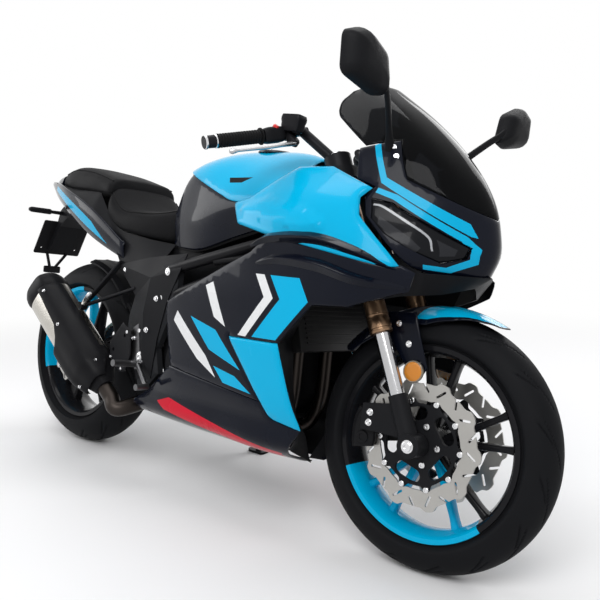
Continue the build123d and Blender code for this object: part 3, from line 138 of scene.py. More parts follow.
FADE_NEAR, FADE_FAR = 1.3, 3.4
floor_paint = bpy.data.materials.new("floor_paint")
tree, out = wired(floor_paint)
matte, glow, spot, length, fade, both, mix = added(
    tree, "BsdfPrincipled", "Emission", "TexCoord", "VectorMath", "MapRange", "Math", "MixShader")
preset(matte, {"Base Color": (0.86, 0.86, 0.87, 1), "Roughness": 0.55})
preset(fade, {"From Min": FADE_NEAR, "From Max": FADE_FAR})
length.operation, both.operation, fade.interpolation_type = "LENGTH", "MULTIPLY", "SMOOTHSTEP"
joined(tree, (spot.outputs["Object"], length.inputs[0]), (length.outputs["Value"], fade.inputs["Value"]),
       (seen_rays(tree), both.inputs[0]), (fade.outputs["Result"], both.inputs[1]),
       (both.outputs[0], mix.inputs[0]), (matte.outputs[0], mix.inputs[1]),
       (glow.outputs[0], mix.inputs[2]), (mix.outputs[0], out.inputs[0]))
floor_mesh.materials.append(floor_paint)

LIGHT_LEVEL, SEEN_LEVEL = 0.42, 1.0
world = bpy.data.worlds.new("surround")
bpy.context.scene.world = world
world.use_nodes = True
tree = world.node_tree
sky, level = tree.nodes["Background"], added(tree, "MapRange")[0]
preset(sky, {"Color": (1, 1, 1, 1)})
preset(level, {"To Min": LIGHT_LEVEL, "To Max": SEEN_LEVEL})
joined(tree, (seen_rays(tree), level.inputs["Value"]), (level.outputs["Result"], sky.inputs["Strength"]))

# Soft boxes: name, place, aim, width, height, power
SOFT_BOXES = [
    ("key_box", (1.6, -2.4, 3.0), (0.1, 0, 0.5), 2.4, 1.6, 80),
    ("roof_box", (-0.4, 0.2, 3.6), (0, 0, 0.4), 3.0, 1.2, 45),
    ("rear_box", (-2.6, -1.6, 1.6), (-0.3, 0, 0.5), 1.6, 1.4, 24),
    ("far_box", (0.6, 2.8, 2.2), (0.2, 0, 0.6), 2.0, 1.4, 30),
]
for name, place, aim, wide, high, power in SOFT_BOXES:
    lamp = bpy.data.lights.new(name, "AREA")
    lamp.shape, lamp.size, lamp.size_y, lamp.energy = "RECTANGLE", wide, high, power
    holder = bpy.data.objects.new(name, lamp)
    aimed = (Vector(aim) - Vector(place)).to_track_quat("-Z", "Y")
    holder.matrix_world = Matrix.Translation(place) @ aimed.to_matrix().to_4x4()
    bpy.context.scene.collection.objects.link(holder)

# Tyres: black road rubber with a round crown, slanted rain grooves and ribbed side walls, moulded in one
# piece. Each is a profile carried round the axle, pressed in where a groove runs.
grain = bpy.data.node_groups.new("fine_grain", "ShaderNodeTree")
for socket, way in (("Scale", "INPUT"), ("Mask", "OUTPUT"), ("Height", "OUTPUT")):
    grain.interface.new_socket(socket, in_out=way, socket_type="NodeSocketFloat")
enter, leave = grain.nodes.new("NodeGroupInput"), grain.nodes.new("NodeGroupOutput")
spot, blotch, pores = added(grain, "TexCoord", "TexNoise", "TexNoise")
preset(blotch, {"Detail": 4, "Scale": 9})
preset(pores, {"Detail": 3})
joined(grain, (spot.outputs["Object"], blotch.inputs["Vector"]),
       (spot.outputs["Object"], pores.inputs["Vector"]), (enter.outputs["Scale"], pores.inputs["Scale"]),
       (blotch.outputs["Fac"], leave.inputs["Mask"]), (pores.outputs["Fac"], leave.inputs["Height"]))
GRAIN_HIGH, COAT_ROUGH, COAT_INDEX, DULL = 0.0006, 0.03, 1.15, 0.06


def finish(name, colour, second, rough, metal=0.0, coat=0.0, scale=400, bump=0.1, spread=0.08, shine=0.5):
    """A finish with two near colours mixed by soft blotches, roughness that follows them and a fine raised
    grain. Shine sets how much its face reflects head on."""
    material = bpy.data.materials.new(name)
    tree, out = wired(material)
    skin, grained, blend, range_, raised = added(tree, "BsdfPrincipled", "Group", "Mix", "MapRange", "Bump")
    grained.node_tree, blend.data_type = grain, "RGBA"
    preset(grained, {"Scale": scale})
    preset(blend, {"A": (*colour, 1), "B": (*second, 1)})
    preset(range_, {"From Min": 0.3, "From Max": 0.7, "To Min": rough - spread, "To Max": rough + spread})
    preset(raised, {"Strength": bump, "Distance": GRAIN_HIGH})
    preset(skin, {"Metallic": metal, "Coat Weight": coat, "Coat Roughness": COAT_ROUGH,
                  "Coat IOR": COAT_INDEX, "Specular IOR Level": shine})
    joined(tree, (grained.outputs["Mask"], blend.inputs["Factor"]),
           (blend.outputs["Result"], skin.inputs["Base Color"]),
           (grained.outputs["Mask"], range_.inputs["Value"]),
           (range_.outputs["Result"], skin.inputs["Roughness"]),
           (grained.outputs["Height"], raised.inputs["Height"]),
           (raised.outputs["Normal"], skin.inputs["Normal"]), (skin.outputs[0], out.inputs[0]))
    return material


def grid(rows, columns, loop_rows=False, loop_columns=False):
    """Quads between neighbours of a net of points; a loop joins the last line to the first."""
    r = np.arange(rows if loop_rows else rows - 1)
    c = np.arange(columns if loop_columns else columns - 1)
    i, j = (a.ravel() for a in np.meshgrid(r, c, indexing="ij"))
    i2, j2 = (i + 1) % rows, (j + 1) % columns
    return np.stack([i * columns + j, i * columns + j2, i2 * columns + j2, i2 * columns + j], 1)


MERGE, NOTHING = 2e-5, 1e-6


def piece(name, shells, finishes, body, stands_for=(), steered=False, closed=True, sharp=32, wall=0,
          lining=None):
    """One object from shells of (points, faces, finish number), merged, smooth but for sharp edges, on its
    body. A sheet gets a wall inwards, with the lining as the finish of its inner face."""
    points, faces, marks, count = [], [], [], 0
    for spots, sides, mark in shells:
        points.append(np.asarray(spots, float).reshape(-1, 3))
        faces += (np.asarray(sides) + count).tolist()
        marks.append(np.broadcast_to(mark, len(sides)))
        count += len(points[-1])
    mesh = bpy.data.meshes.new(name)
    mesh.from_pydata(stood(np.concatenate(points), steered).tolist(), [], faces)
    mesh.polygons.foreach_set("material_index", np.concatenate(marks).astype(np.int32))
    work = bmesh.new()
    work.from_mesh(mesh)
    bmesh.ops.remove_doubles(work, verts=work.verts, dist=MERGE)
    bmesh.ops.dissolve_degenerate(work, edges=work.edges, dist=NOTHING)
    if closed and not wall:
        bmesh.ops.recalc_face_normals(work, faces=work.faces)
    work.to_mesh(mesh)
    work.free()
    mesh.shade_smooth()
    mesh.set_sharp_from_angle(angle=radians(sharp))
    if wall:
        edge_of = np.empty(len(mesh.loops), np.int32)
        mesh.loops.foreach_get("edge_index", edge_of)
        crease = mesh.attributes.get("sharp_edge") or mesh.attributes.new("sharp_edge", "BOOLEAN", "EDGE")
        hard = np.empty(len(mesh.edges), bool)
        crease.data.foreach_get("value", hard)
        crease.data.foreach_set("value", hard | (np.bincount(edge_of, minlength=len(hard)) == 1))
    obj = bpy.data.objects.new(name, mesh)
    bpy.context.scene.collection.objects.link(obj)
    for material in finishes:
        mesh.materials.append(material)
    if wall:
        solid = obj.modifiers.new("wall", "SOLIDIFY")
        solid.thickness, solid.offset = wall / 1000, -1
        if lining:
            mesh.materials.append(lining)
            solid.material_offset = len(finishes)
    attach(obj, body)
    if stands_for:
        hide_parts(*stands_for)
    return obj


def carried(axle, profile, turns):
    """Profile of (sideways, radius) points carried round an axle by cosine and sine of each turn."""
    side, radius = np.asarray(profile, float).T
    turns = np.asarray(turns)[:, None]
    spots = np.stack([axle[0] + radius * np.cos(turns), axle[1] + side + 0 * turns,
                      axle[2] + radius * np.sin(turns)], -1)
    return spots.reshape(-1, 3), grid(len(turns), len(side), True, True), 0


def around(count):
    """Turns of a whole circle."""
    return np.arange(count) * 2 * pi / count


FRONT_AXLE, REAR_AXLE = np.array([WHEELBASE, 0, FRONT_RADIUS]), np.array([0, 0, REAR_RADIUS])
GROOVES, GROOVE_DEEP, GROOVE_HALF = 15, 3.5, 2.6


def made_tyre(axle, radius, half, rim_half):
    """Half circle crown on straight side walls. Grooves lean with the angle from the crown's middle: the
    drop is full inside the groove's half width and fades over another half of it."""
    lean = np.linspace(-90, 90, 73)
    middle = radius - half
    crown = np.stack([half * np.sin(np.radians(lean)), middle + half * np.cos(np.radians(lean))], 1)
    bead = rim_half - 6.5
    ribs = np.array([(bead, 219), (bead, 229), (half * 0.93, 236)])
    profile = np.concatenate([ribs * (-1, 1), crown[1:-1], ribs[::-1]])
    turns = around(640)
    spots, faces, _ = carried(axle, profile, turns)
    across = np.concatenate([[-99] * 3, lean[1:-1], [99] * 3])
    shift = np.where(across > 0, 0.5, 0)
    depth = np.zeros((len(turns), len(across)))
    for first, last, offset, slope in ((9, 47, 0, 0.011), (30, 62, 0.42, 0.007)):
        line = (np.abs(across) - first) * slope * GROOVES / (2 * pi) + shift + offset
        apart = (turns[:, None] * GROOVES / (2 * pi) - line + 0.5) % 1 - 0.5
        gap = np.abs(apart) * 2 * pi / GROOVES * radius * 0.85
        ends = np.clip((np.abs(across) - first) / 4, 0, 1) * np.clip((last - np.abs(across)) / 6, 0, 1)
        cut = np.clip((1.5 * GROOVE_HALF - gap) / GROOVE_HALF, 0, 1)
        depth = np.maximum(depth, GROOVE_DEEP * cut * np.clip(ends, 0, 1))
    ring = spots.reshape(len(turns), -1, 3)
    core = np.stack([axle[0] + middle * np.cos(turns), 0 * turns, axle[2] + middle * np.sin(turns)], 1)
    inward = core[:, None] - ring
    inward /= np.linalg.norm(inward, axis=2, keepdims=True)
    return (ring + inward * depth[..., None]).reshape(-1, 3), faces, 0


tyre_rubber = finish("tyre_rubber", (0.0055, 0.0058, 0.0068), (0.0095, 0.0098, 0.0112), 0.6, scale=900,
                     bump=0.25, shine=DULL)
piece("front_road_tyre", [made_tyre(FRONT_AXLE, FRONT_RADIUS, 60, 50)], [tyre_rubber], "front_wheel",
      ("front_tyre",), steered=True, sharp=40)
piece("rear_road_tyre", [made_tyre(REAR_AXLE, REAR_RADIUS, 78, 64)], [tyre_rubber], "rear_wheel",
      ("rear_tyre",), sharp=40)

# Wheels: cast alloy, gloss black with one painted sector, five pairs of slim spokes on a waisted hub.
# The barrel and hub are turned profiles, and each spoke is an oval carried from hub to rim.
cyan = (0.0, 0.38, 0.65)


def rim_paint(name, axle, first, last, steered):
    """Black gloss, with cyan between two angles about the axle in the wheel's own plane."""
    material = finish(name, (0.006, 0.006, 0.0075), (0.010, 0.010, 0.0115), 0.26, coat=0.8, scale=500,
                      bump=0.02, shine=DULL)
    tree = material.node_tree
    skin = next(n for n in tree.nodes if n.type == "BSDF_PRINCIPLED")
    spot, centre, upright, split, angle, above, below, both, blend = added(
        tree, "TexCoord", "VectorMath", "Mapping", "SeparateXYZ", "Math", "Math", "Math", "Math", "Mix")
    centre.operation, angle.operation, blend.data_type = "SUBTRACT", "ARCTAN2", "RGBA"
    frame_turn = LEANED @ (turn(UP, STEER_REST) if steered else np.eye(3))
    middle = radians((first + last) / 2)
    spun = turn((0, 1, 0), middle) @ frame_turn.T
    half = radians((last - first) / 2)
    above.operation, below.operation, both.operation = "GREATER_THAN", "LESS_THAN", "MULTIPLY"
    for node, socket, value in ((centre, 1, stood(axle, steered)),
                                (upright, "Rotation", Matrix(spun).to_euler()), (above, 1, -half),
                                (below, 1, half), (blend, "B", (*cyan, 1))):
        preset(node, {socket: value})
    base = skin.inputs["Base Color"].links[0].from_socket
    joined(tree, (spot.outputs["Object"], centre.inputs[0]), (centre.outputs[0], upright.inputs[0]),
           (upright.outputs[0], split.inputs[0]), (split.outputs["Z"], angle.inputs[0]),
           (split.outputs["X"], angle.inputs[1]), (angle.outputs[0], above.inputs[0]),
           (angle.outputs[0], below.inputs[0]), (above.outputs[0], both.inputs[0]),
           (below.outputs[0], both.inputs[1]), (both.outputs[0], blend.inputs["Factor"]),
           (base, blend.inputs["A"]), (blend.outputs["Result"], skin.inputs["Base Color"]))
    return material


def oval(count, power=2.0):
    """Closed unit oval: cosine and sine raised to two over the power, with their signs, run round once."""
    t = around(count)
    c, s = np.cos(t), np.sin(t)
    return np.stack([np.sign(c) * np.abs(c) ** (2 / power), np.sign(s) * np.abs(s) ** (2 / power)], 1)


def swept(path, section, sizes, up=(0, 0, 1)):
    """Section of (side, top) points carried along a path: ring = path point + side part times the side
    vector + top part times the top vector, scaled by the sizes there. Both ends shrink to a point."""
    path, section = np.asarray(path, float), np.asarray(section, float)
    run = np.gradient(path, axis=0)
    run /= np.linalg.norm(run, axis=1, keepdims=True)
    side = np.cross(run, up)
    side /= np.linalg.norm(side, axis=1, keepdims=True)
    top = np.cross(side, run)
    sizes = np.asarray(sizes, float)
    sizes = np.broadcast_to(sizes.reshape(-1, 1) if sizes.ndim < 2 else sizes, (len(path), 2))
    path, side, top = (np.concatenate([a[:1], a, a[-1:]]) for a in (path, side, top))
    sizes = np.concatenate([sizes[:1] * 0, sizes, sizes[-1:] * 0])
    ring = (path[:, None] + (section[None, :, :1] * sizes[:, None, :1]) * side[:, None]
            + (section[None, :, 1:] * sizes[:, None, 1:]) * top[:, None])
    return ring.reshape(-1, 3), grid(len(path), len(section), False, True), 0


def straight(start, end, count=2):
    """Evenly spaced points between two."""
    t = np.linspace(0, 1, count)[:, None]
    return np.asarray(start, float) * (1 - t) + np.asarray(end, float) * t


def made_rim(axle, rim_half, hub_half):
    """Barrel and hub are turned profiles. A spoke goes out from the hub and drifts sideways to the rim."""
    edge, seat = rim_half, 218
    barrel = [(-edge, seat + 7), (-edge + 2, seat + 8), (-edge + 6, seat + 7), (-edge + 7, seat),
              (-edge + 18, seat - 3), (edge - 18, seat - 3), (edge - 7, seat), (edge - 6, seat + 7),
              (edge - 2, seat + 8), (edge, seat + 7), (edge, seat - 4), (edge - 7, seat - 10),
              (edge - 20, seat - 12), (18, seat - 18), (8, seat - 20), (-8, seat - 20), (-18, seat - 18),
              (-edge + 20, seat - 12), (-edge + 7, seat - 10), (-edge, seat - 4)]
    hub = [(-hub_half, 14), (hub_half, 14), (hub_half, 30), (hub_half - 4, 34), (hub_half - 12, 36),
           (34, 38), (26, 42), (12, 44), (-12, 44), (-26, 42), (-34, 38), (-hub_half + 12, 36),
           (-hub_half + 4, 34), (-hub_half, 30)]
    shells = [carried(axle, barrel, around(120)), carried(axle, hub, around(72))]
    out = np.linspace(0, 1, 16)
    reach = 32 + 172 * out
    wide = 10.5 - 3.0 * out + 3.5 * np.exp(-((1 - out) / 0.12) ** 2)
    deep = 29 - 16 * out ** 0.8 + 4 * np.exp(-((1 - out) / 0.1) ** 2)
    for k in range(10):
        pair = radians(90 + 72 * (k // 2))
        drift = (1 if k % 2 else -1) * (5 + 37 * out ** 1.2)
        x = axle[0] + reach * cos(pair) - drift * sin(pair)
        z = axle[2] + reach * sin(pair) + drift * cos(pair)
        path = np.stack([x, 0 * x, z], 1)
        shells.append(swept(path, oval(20, 3.2), np.stack([deep, wide], 1), up=(-sin(pair), 0, cos(pair))))
    return shells


front_rim_paint = rim_paint("front_rim_paint", FRONT_AXLE, 206, 314, True)
rear_rim_paint = rim_paint("rear_rim_paint", REAR_AXLE, 92, 203, False)
piece("front_cast_wheel", made_rim(FRONT_AXLE, 50, 64), [front_rim_paint], "front_wheel",
      ("front_rim",), steered=True)
piece("rear_cast_wheel", made_rim(REAR_AXLE, 64, 74), [rear_rim_paint], "rear_wheel",
      ("rear_rim",))

# Brake discs: thin steel rings with a waved edge and slanted slots, floating on black spiders by round
# buttons. Each face is a flat net trimmed by its outlines and given the disc's thickness.
def along(outline, step):
    """Points along a closed outline, at most a step apart, corners kept, run round to the left."""
    corners = np.asarray(outline, float)
    corners = corners[np.linalg.norm(np.roll(corners, -1, axis=0) - corners, axis=1) > 1e-3]
    after = np.roll(corners, -1, axis=0)
    if (corners[:, 0] * after[:, 1] - corners[:, 1] * after[:, 0]).sum() < 0:
        corners = corners[::-1]
        after = np.roll(corners, -1, axis=0)
    parts = np.maximum(np.ceil(np.linalg.norm(after - corners, axis=1) / step).astype(int), 1)
    start = np.repeat(corners, parts, axis=0)
    share = (np.arange(parts.sum()) - np.repeat(np.cumsum(parts) - parts, parts)) / np.repeat(parts, parts)
    return start + (np.repeat(after, parts, axis=0) - start) * share[:, None]


def edge_gap(points, outline):
    """Distance from each point to the nearest side of a closed outline, below zero outside it."""
    a = np.asarray(outline, float)
    b = np.roll(a, -1, axis=0)
    side = b - a
    rel = points[:, None] - a[None]
    share = np.clip((rel * side).sum(2) / np.maximum((side ** 2).sum(1), 1e-9), 0, 1)
    gap = np.linalg.norm(rel - share[..., None] * side, axis=2).min(1)
    above = (a[:, 1] > points[:, 1:]) != (b[:, 1] > points[:, 1:])
    rise = np.where(np.abs(side[:, 1]) < 1e-9, 1e-9, side[:, 1])
    crossing = above & (points[:, :1] < a[:, 0] + (points[:, 1:] - a[:, 1]) / rise * side[:, 0])
    return np.where(crossing.sum(1) % 2 == 1, gap, -gap)


def trimmed(surface, outline, paints=(), step=9, roll=4):
    """A sheet on a surface inside an outline. The net joins a square grid of points, rings beside the edge
    and the outlines of painted areas, by Delaunay's rule. Near the edge it drops as a quarter circle. Paint
    None is a hole."""
    edge = along(outline, step)
    areas = [along(area, step * 0.8) for area, _ in paints]
    low, high = edge.min(0), edge.max(0)
    across = [np.arange(l + step / 2, h, step) for l, h in zip(low, high)]
    field = np.stack(np.meshgrid(*across, indexing="ij"), -1).reshape(-1, 2)
    run = np.roll(edge, -1, axis=0) - np.roll(edge, 1, axis=0)
    run_long = np.maximum(np.linalg.norm(run, axis=1, keepdims=True), 1e-9)
    inward = np.stack([-run[:, 1], run[:, 0]], 1) / run_long
    inward *= np.sign(np.median(edge_gap(edge + inward * 0.4, edge)))
    rings = [edge + inward * roll * share for share in (0.12, 0.35, 1.0)] if roll else []
    for ring, share in zip(rings, (0.12, 0.35, 1.0)):
        ring[edge_gap(ring, edge) < 0.9 * roll * share] = np.nan
    keep = edge_gap(field, edge) > roll + 0.45 * step
    for area in areas:
        keep &= np.abs(edge_gap(field, area)) > 0.45 * step
    inner = np.concatenate([field[keep], *rings])
    inner = inner[~np.isnan(inner[:, 0])]
    for area in areas:
        inner = inner[np.abs(edge_gap(inner, area)) > min(1.0, step / 6)]
    spots = np.concatenate([edge, *areas, inner])
    starts = np.cumsum([0, len(edge), *map(len, areas)])
    loops = [list(range(a, b)) for a, b in zip(starts, starts[1:])]
    spots = [Vector(p) for p in spots.tolist()]
    flat, _, faces, _, _, owners = delaunay_2d_cdt(spots, [], loops, 1, 1e-3, True)
    flat = np.array([tuple(p) for p in flat])
    top = np.array([max(o) if 0 in o else -1 for o in owners])
    number = np.array([0] + [-1 if mark is None else mark for _, mark in paints])
    marks = np.where(top < 0, -1, number[top])
    faces = np.array([tuple(f) for f in faces])[marks >= 0]
    a, b = flat.T
    reach = 0.5
    normal = np.cross(surface(a + reach, b) - surface(a - reach, b),
                      surface(a, b + reach) - surface(a, b - reach))
    normal /= np.maximum(np.linalg.norm(normal, axis=1, keepdims=True), 1e-9)
    drop = 0
    if roll:
        left = roll - np.clip(edge_gap(flat, edge), 0, roll)
        drop = roll - np.sqrt(np.maximum(roll ** 2 - left ** 2, 0))
    return surface(a, b) - normal * np.reshape(drop, (-1, 1)), faces, marks[marks >= 0]


def other_side(shell):
    """The same shell on the other side of the bike, with its faces turned round."""
    points, faces, marks = shell
    return points * (1, -1, 1), faces[:, ::-1], marks


def flat_at(axle, y):
    """A flat face seen from the right, at a distance y, with its own middle on an axle."""
    return lambda a, b: np.stack([axle[0] + a, 0 * a + y, axle[2] + b], 1)


def waved(radius, depth, lobes, count=240):
    """Closed outline: the radius swings between full and depth less, with flat tops."""
    t = around(count)
    swing = np.tanh(2.2 * np.cos(lobes * t + 0.6 * np.sin(lobes * t)))
    return np.stack([np.cos(t), np.sin(t)], 1) * (radius - depth * (0.5 - 0.5 * swing))[:, None]


def slot_at(reach, turn_by, slant, length, half):
    """Closed outline of a round-ended slot at a reach and turn from the axle, slanted to the radius."""
    t = around(20)
    end = np.where(np.cos(t) > 0, 1, -1)[:, None]
    round_end = half * np.stack([np.cos(t), np.sin(t)], 1) + end * (length / 2, 0)
    c, s = cos(turn_by + slant), sin(turn_by + slant)
    return round_end @ np.array([[c, s], [-s, c]]) + reach * np.array([cos(turn_by), sin(turn_by)])


def made_disc(axle, y, radius, hole, slots):
    """Disc ring, seen from the right: waved edge, waved hole and slots that slant in turn."""
    holes = [(waved(hole, 5, 10, 160), None)]
    for k in range(slots):
        way, shift = (0.62, 3) if k % 2 else (-0.62, -2)
        holes.append((slot_at((radius + hole) / 2 + shift, 2 * pi * k / slots, way, 22, 2.9), None))
    return trimmed(flat_at(axle, y), waved(radius, 11, 10), holes, step=11, roll=0)


WINDOWS = 5


def made_spider(axle, y, reach):
    """Spider between hub and disc: lobes at the buttons and five windows."""
    holes = [(waved(24, 0, 1, 48), None)]
    for k in range(WINDOWS):
        turn_by = 2 * pi * (k + 0.5) / WINDOWS
        holes.append((slot_at(0.66 * reach, turn_by, pi / 2, 0.34 * reach, 0.15 * reach), None))
    return trimmed(flat_at(axle, y), waved(reach, 13, 10), holes, step=12, roll=2)


def made_buttons(axle, y, reach, count, size, tall):
    """Round buttons with a dished head, on a circle: turned profiles about their own middles."""
    head = [(0, 0.0), (0, size), (-tall * 0.7, size), (-tall, size * 0.8), (-tall, size * 0.45),
            (-tall * 0.6, size * 0.35), (-tall * 0.6, 0.0)]
    return [carried(np.array([axle[0] + reach * cos(t), y, axle[2] + reach * sin(t)]), head, around(18))
            for t in around(count)]


disc_steel = finish("disc_steel", (0.36, 0.352, 0.335), (0.43, 0.42, 0.40), 0.40, metal=1.0,
                    scale=900, bump=0.08)
bright_steel = finish("bright_steel", (0.62, 0.62, 0.63), (0.75, 0.75, 0.76), 0.24, metal=1.0,
                      scale=700, bump=0.03)
dark_casting = finish("dark_casting", (0.008, 0.0082, 0.0095), (0.014, 0.0143, 0.016), 0.44, scale=1100,
                      bump=0.28, shine=DULL)
front_disc = made_disc(FRONT_AXLE, -77, 150, 106, 20)
front_spider = made_spider(FRONT_AXLE, -76, 106)
rear_disc = made_disc(REAR_AXLE, -91, 110, 74, 16)
rear_spider = made_spider(REAR_AXLE, -90, 76)
front_pins = made_buttons(FRONT_AXLE, -77, 101, 10, 7.0, 4) + made_buttons(FRONT_AXLE, -76, 46, 5, 7.5, 6)
rear_pins = made_buttons(REAR_AXLE, -91, 70, 10, 6.0, 3) + made_buttons(REAR_AXLE, -90, 40, 5, 6.5, 5)
piece("front_disc_rings", [front_disc, other_side(front_disc)], [disc_steel], "front_wheel",
      ("front_discs",), steered=True, wall=4.6)
piece("front_disc_spiders", [front_spider, other_side(front_spider)], [dark_casting], "front_wheel",
      steered=True, wall=9)
piece("front_disc_buttons", [s for p in front_pins for s in (p, (p[0] * (1, -1, 1), p[1], 0))],
      [bright_steel], "front_wheel", steered=True)
piece("rear_disc_ring", [rear_disc], [disc_steel], "rear_wheel", ("rear_disc",), wall=4.6)
piece("rear_disc_spider", [rear_spider], [dark_casting], "rear_wheel", wall=12)
piece("rear_disc_buttons", rear_pins, [bright_steel], "rear_wheel")

# Fork: upside-down, with bronze anodised outer tubes, chromed sliders and black cast feet round the axle.
# Tubes are turned profiles along the leg, with a lip, a groove and a collar at the lower end.
LEG_AHEAD, LEG_HALF = np.array([cos(RAKE), 0, sin(RAKE)]) * 30, 108
TUBE_FOOT, TUBE_TOP, CAP_TOP = 263, 716, 727


def leg_point(height, side):
    """A point on a fork leg's middle line at a height along the steering axis."""
    return STEER_POINT + UP * height + LEG_AHEAD + np.array([0, side * LEG_HALF, 0])


def lathed(start, end, profile, count=40):
    """Round bar from start to end: rings of (share of the way, radius), closed at both ends."""
    share, radius = np.asarray(profile, float).T
    start, run = np.asarray(start, float), np.asarray(end, float) - np.asarray(start, float)
    path = start + run * share[:, None]
    run = run / np.linalg.norm(run)
    side = np.cross(run, (0.3, 0.9, 0.31))
    side /= np.linalg.norm(side)
    top = np.cross(side, run)
    t = around(count)
    ring = np.cos(t)[:, None] * side + np.sin(t)[:, None] * top
    radius = np.concatenate([[0], radius, [0]])
    path = np.concatenate([path[:1], path, path[-1:]])
    spots = path[:, None] + radius[:, None, None] * ring[None]
    return spots.reshape(-1, 3), grid(len(path), count, False, True), 0


bronze = finish("bronze_anodised", (0.20, 0.125, 0.075), (0.27, 0.17, 0.105), 0.30, metal=1.0,
                scale=900, bump=0.05)
chrome = finish("chrome_tube", (0.46, 0.46, 0.47), (0.54, 0.54, 0.55), 0.17, metal=1.0, scale=600,
                bump=0.02, spread=0.04)
OUTER_TUBE = [(0, 24), (0.004, 27), (0.016, 27.4), (0.018, 25.2), (0.026, 25.2), (0.028, 27.2),
              (0.07, 27.2), (0.078, 25.6), (0.092, 25.6), (0.095, 26.6), (0.101, 26.6),
              (0.104, 25.5), (1, 25.5)]
piece("fork_bronze_tubes", [lathed(leg_point(TUBE_FOOT, s), leg_point(TUBE_TOP, s), OUTER_TUBE)
                            for s in (-1, 1)], [bronze], "steering",
      ("fork_outers",), steered=True)
LEG_CAP = [(0, 21), (0.35, 21), (0.4, 19), (0.7, 19), (0.72, 9), (1, 8.5)]
piece("fork_top_caps", [lathed(leg_point(TUBE_TOP, s), leg_point(CAP_TOP, s), LEG_CAP) for s in (-1, 1)],
      [bright_steel], "steering", steered=True)


def dress(finish_, *nodes):
    """Gives CAD nodes a finish."""
    for node in nodes:
        mesh = frame["nodes"][node].data
        mesh.materials.clear()
        mesh.materials.append(finish_)


dress(chrome, "fork_sliders")
dress(dark_casting, "yokes", "axle_carriers")


def bolt(spot, out, size, tall=7):
    """A socket head bolt on a washer at a spot, pointing out: a turned head with a sunk socket."""
    spot, out = np.asarray(spot, float), np.asarray(out, float) / np.linalg.norm(out)
    head = [(0, size * 1.35), (0.22, size * 1.35), (0.24, size), (0.92, size), (1.0, size * 0.9),
            (1.0, size * 0.5), (0.6, size * 0.48), (0.6, 0.01)]
    return lathed(spot - out, spot + out * tall, head, 20)


FOOT_BOLTS = [(1400, 133, 300, 11), (1373, 112.5, 362, 6), (1284, 112.5, 354, 6), (1283, 112.5, 330, 6)]
foot_bolts = [bolt((x, s * y, z), (0, s, 0), size) for s in (-1, 1) for x, y, z, size in FOOT_BOLTS]
piece("fork_foot_bolts", foot_bolts, [bright_steel], "steering", steered=True)

# Brake calipers: black cast blocks that straddle the disc's edge, with round piston covers and bolts.
# Each half is a rounded section carried along an arc about the axle, and a bridge joins the halves.
caliper_black = finish("caliper_black", (0.006, 0.006, 0.007), (0.011, 0.011, 0.012), 0.38, coat=0.2,
                       scale=900, bump=0.2, shine=DULL)


def made_caliper(axle, radius, first, last, inner, outer, disc_in, disc_out):
    """Two half blocks and a bridge along an arc: sections of rounded rectangles between two radii."""
    middle = radians((first + last) / 2)
    t = np.radians(np.linspace(first, last, 15))
    taper = 0.82 + 0.18 * np.clip(np.minimum(np.arange(15), 14 - np.arange(15)) / 2.5, 0, 1)
    shells = []
    for y_from, y_to, low, high in ((inner, disc_in, radius - 42, radius + 16),
                                    (disc_out, outer, radius - 42, radius + 16),
                                    (inner + 4, outer - 4, radius + 4, radius + 21)):
        mid = (low + high) / 2
        y = 0 * t - (y_from + y_to) / 2
        path = np.stack([axle[0] + mid * np.cos(t), y, axle[2] + mid * np.sin(t)], 1)
        size = np.stack([taper * 0 + abs(y_to - y_from) / 2, taper * (high - low) / 2], 1)
        shells.append(swept(path, oval(28, 4.5), size, up=(cos(middle), 0, sin(middle))))
    for share in (0.28, 0.72):
        a = radians(first + (last - first) * share)
        at = np.array([axle[0] + (radius - 14) * cos(a), -outer + 1, axle[2] + (radius - 14) * sin(a)])
        shells.append(lathed(at, at - (0, 5, 0), [(0, 15), (0.6, 15), (1, 13.5), (1, 8), (0.7, 7.5)], 28))
    return shells


right_front = made_caliper(FRONT_AXLE, 150, 159, 193, 56, 100, 69, 80)
piece("front_brake_calipers", right_front + [(p * (1, -1, 1), f, m) for p, f, m in right_front],
      [caliper_black], "steering", ("front_calipers",), steered=True)
rear_block = made_caliper(REAR_AXLE, 110, 46, 90, 77, 104, 84, 93)
piece("rear_brake_caliper", rear_block, [caliper_black], "chassis")
dress(dark_casting, "rear_caliper")

# Front mudguard: a gloss black moulded arch over the tyre with a cyan nose, and a plate beside each fork
# leg. The arch is a net of turn about the axle and way across, its sides dropping with the fourth power of
# the way across.
gloss_black = finish("gloss_black", (0.0026, 0.0036, 0.0082), (0.0040, 0.0054, 0.0118), 0.24, coat=1.0,
                     scale=300, bump=0.01, shine=DULL)
blue_paint = finish("blue_paint", (0.0, 0.365, 0.625), (0.0, 0.395, 0.67), 0.24, coat=1.0, scale=2200,
                    bump=0.015, spread=0.04, shine=DULL)
black_plastic = finish("black_plastic", (0.0065, 0.0067, 0.0078), (0.011, 0.0113, 0.0128), 0.46, scale=1600,
                       bump=0.22, shine=DULL)


def arch(axle, radius, half, first, skirt):
    """Skin over (way round in mm, way across in mm) about an axle: radius falls by the skirt times the
    fourth power of the share across, with a soft ridge along the middle. The way round starts at an angle
    and runs forward."""
    def surface(way, across):
        t = radians(first) - way / radius
        share = across / half
        r = radius - skirt * share ** 4 + 3 * np.exp(-(share / 0.12) ** 2)
        return np.stack([axle[0] + r * np.cos(t), across, axle[2] + r * np.sin(t)], 1)
    return surface


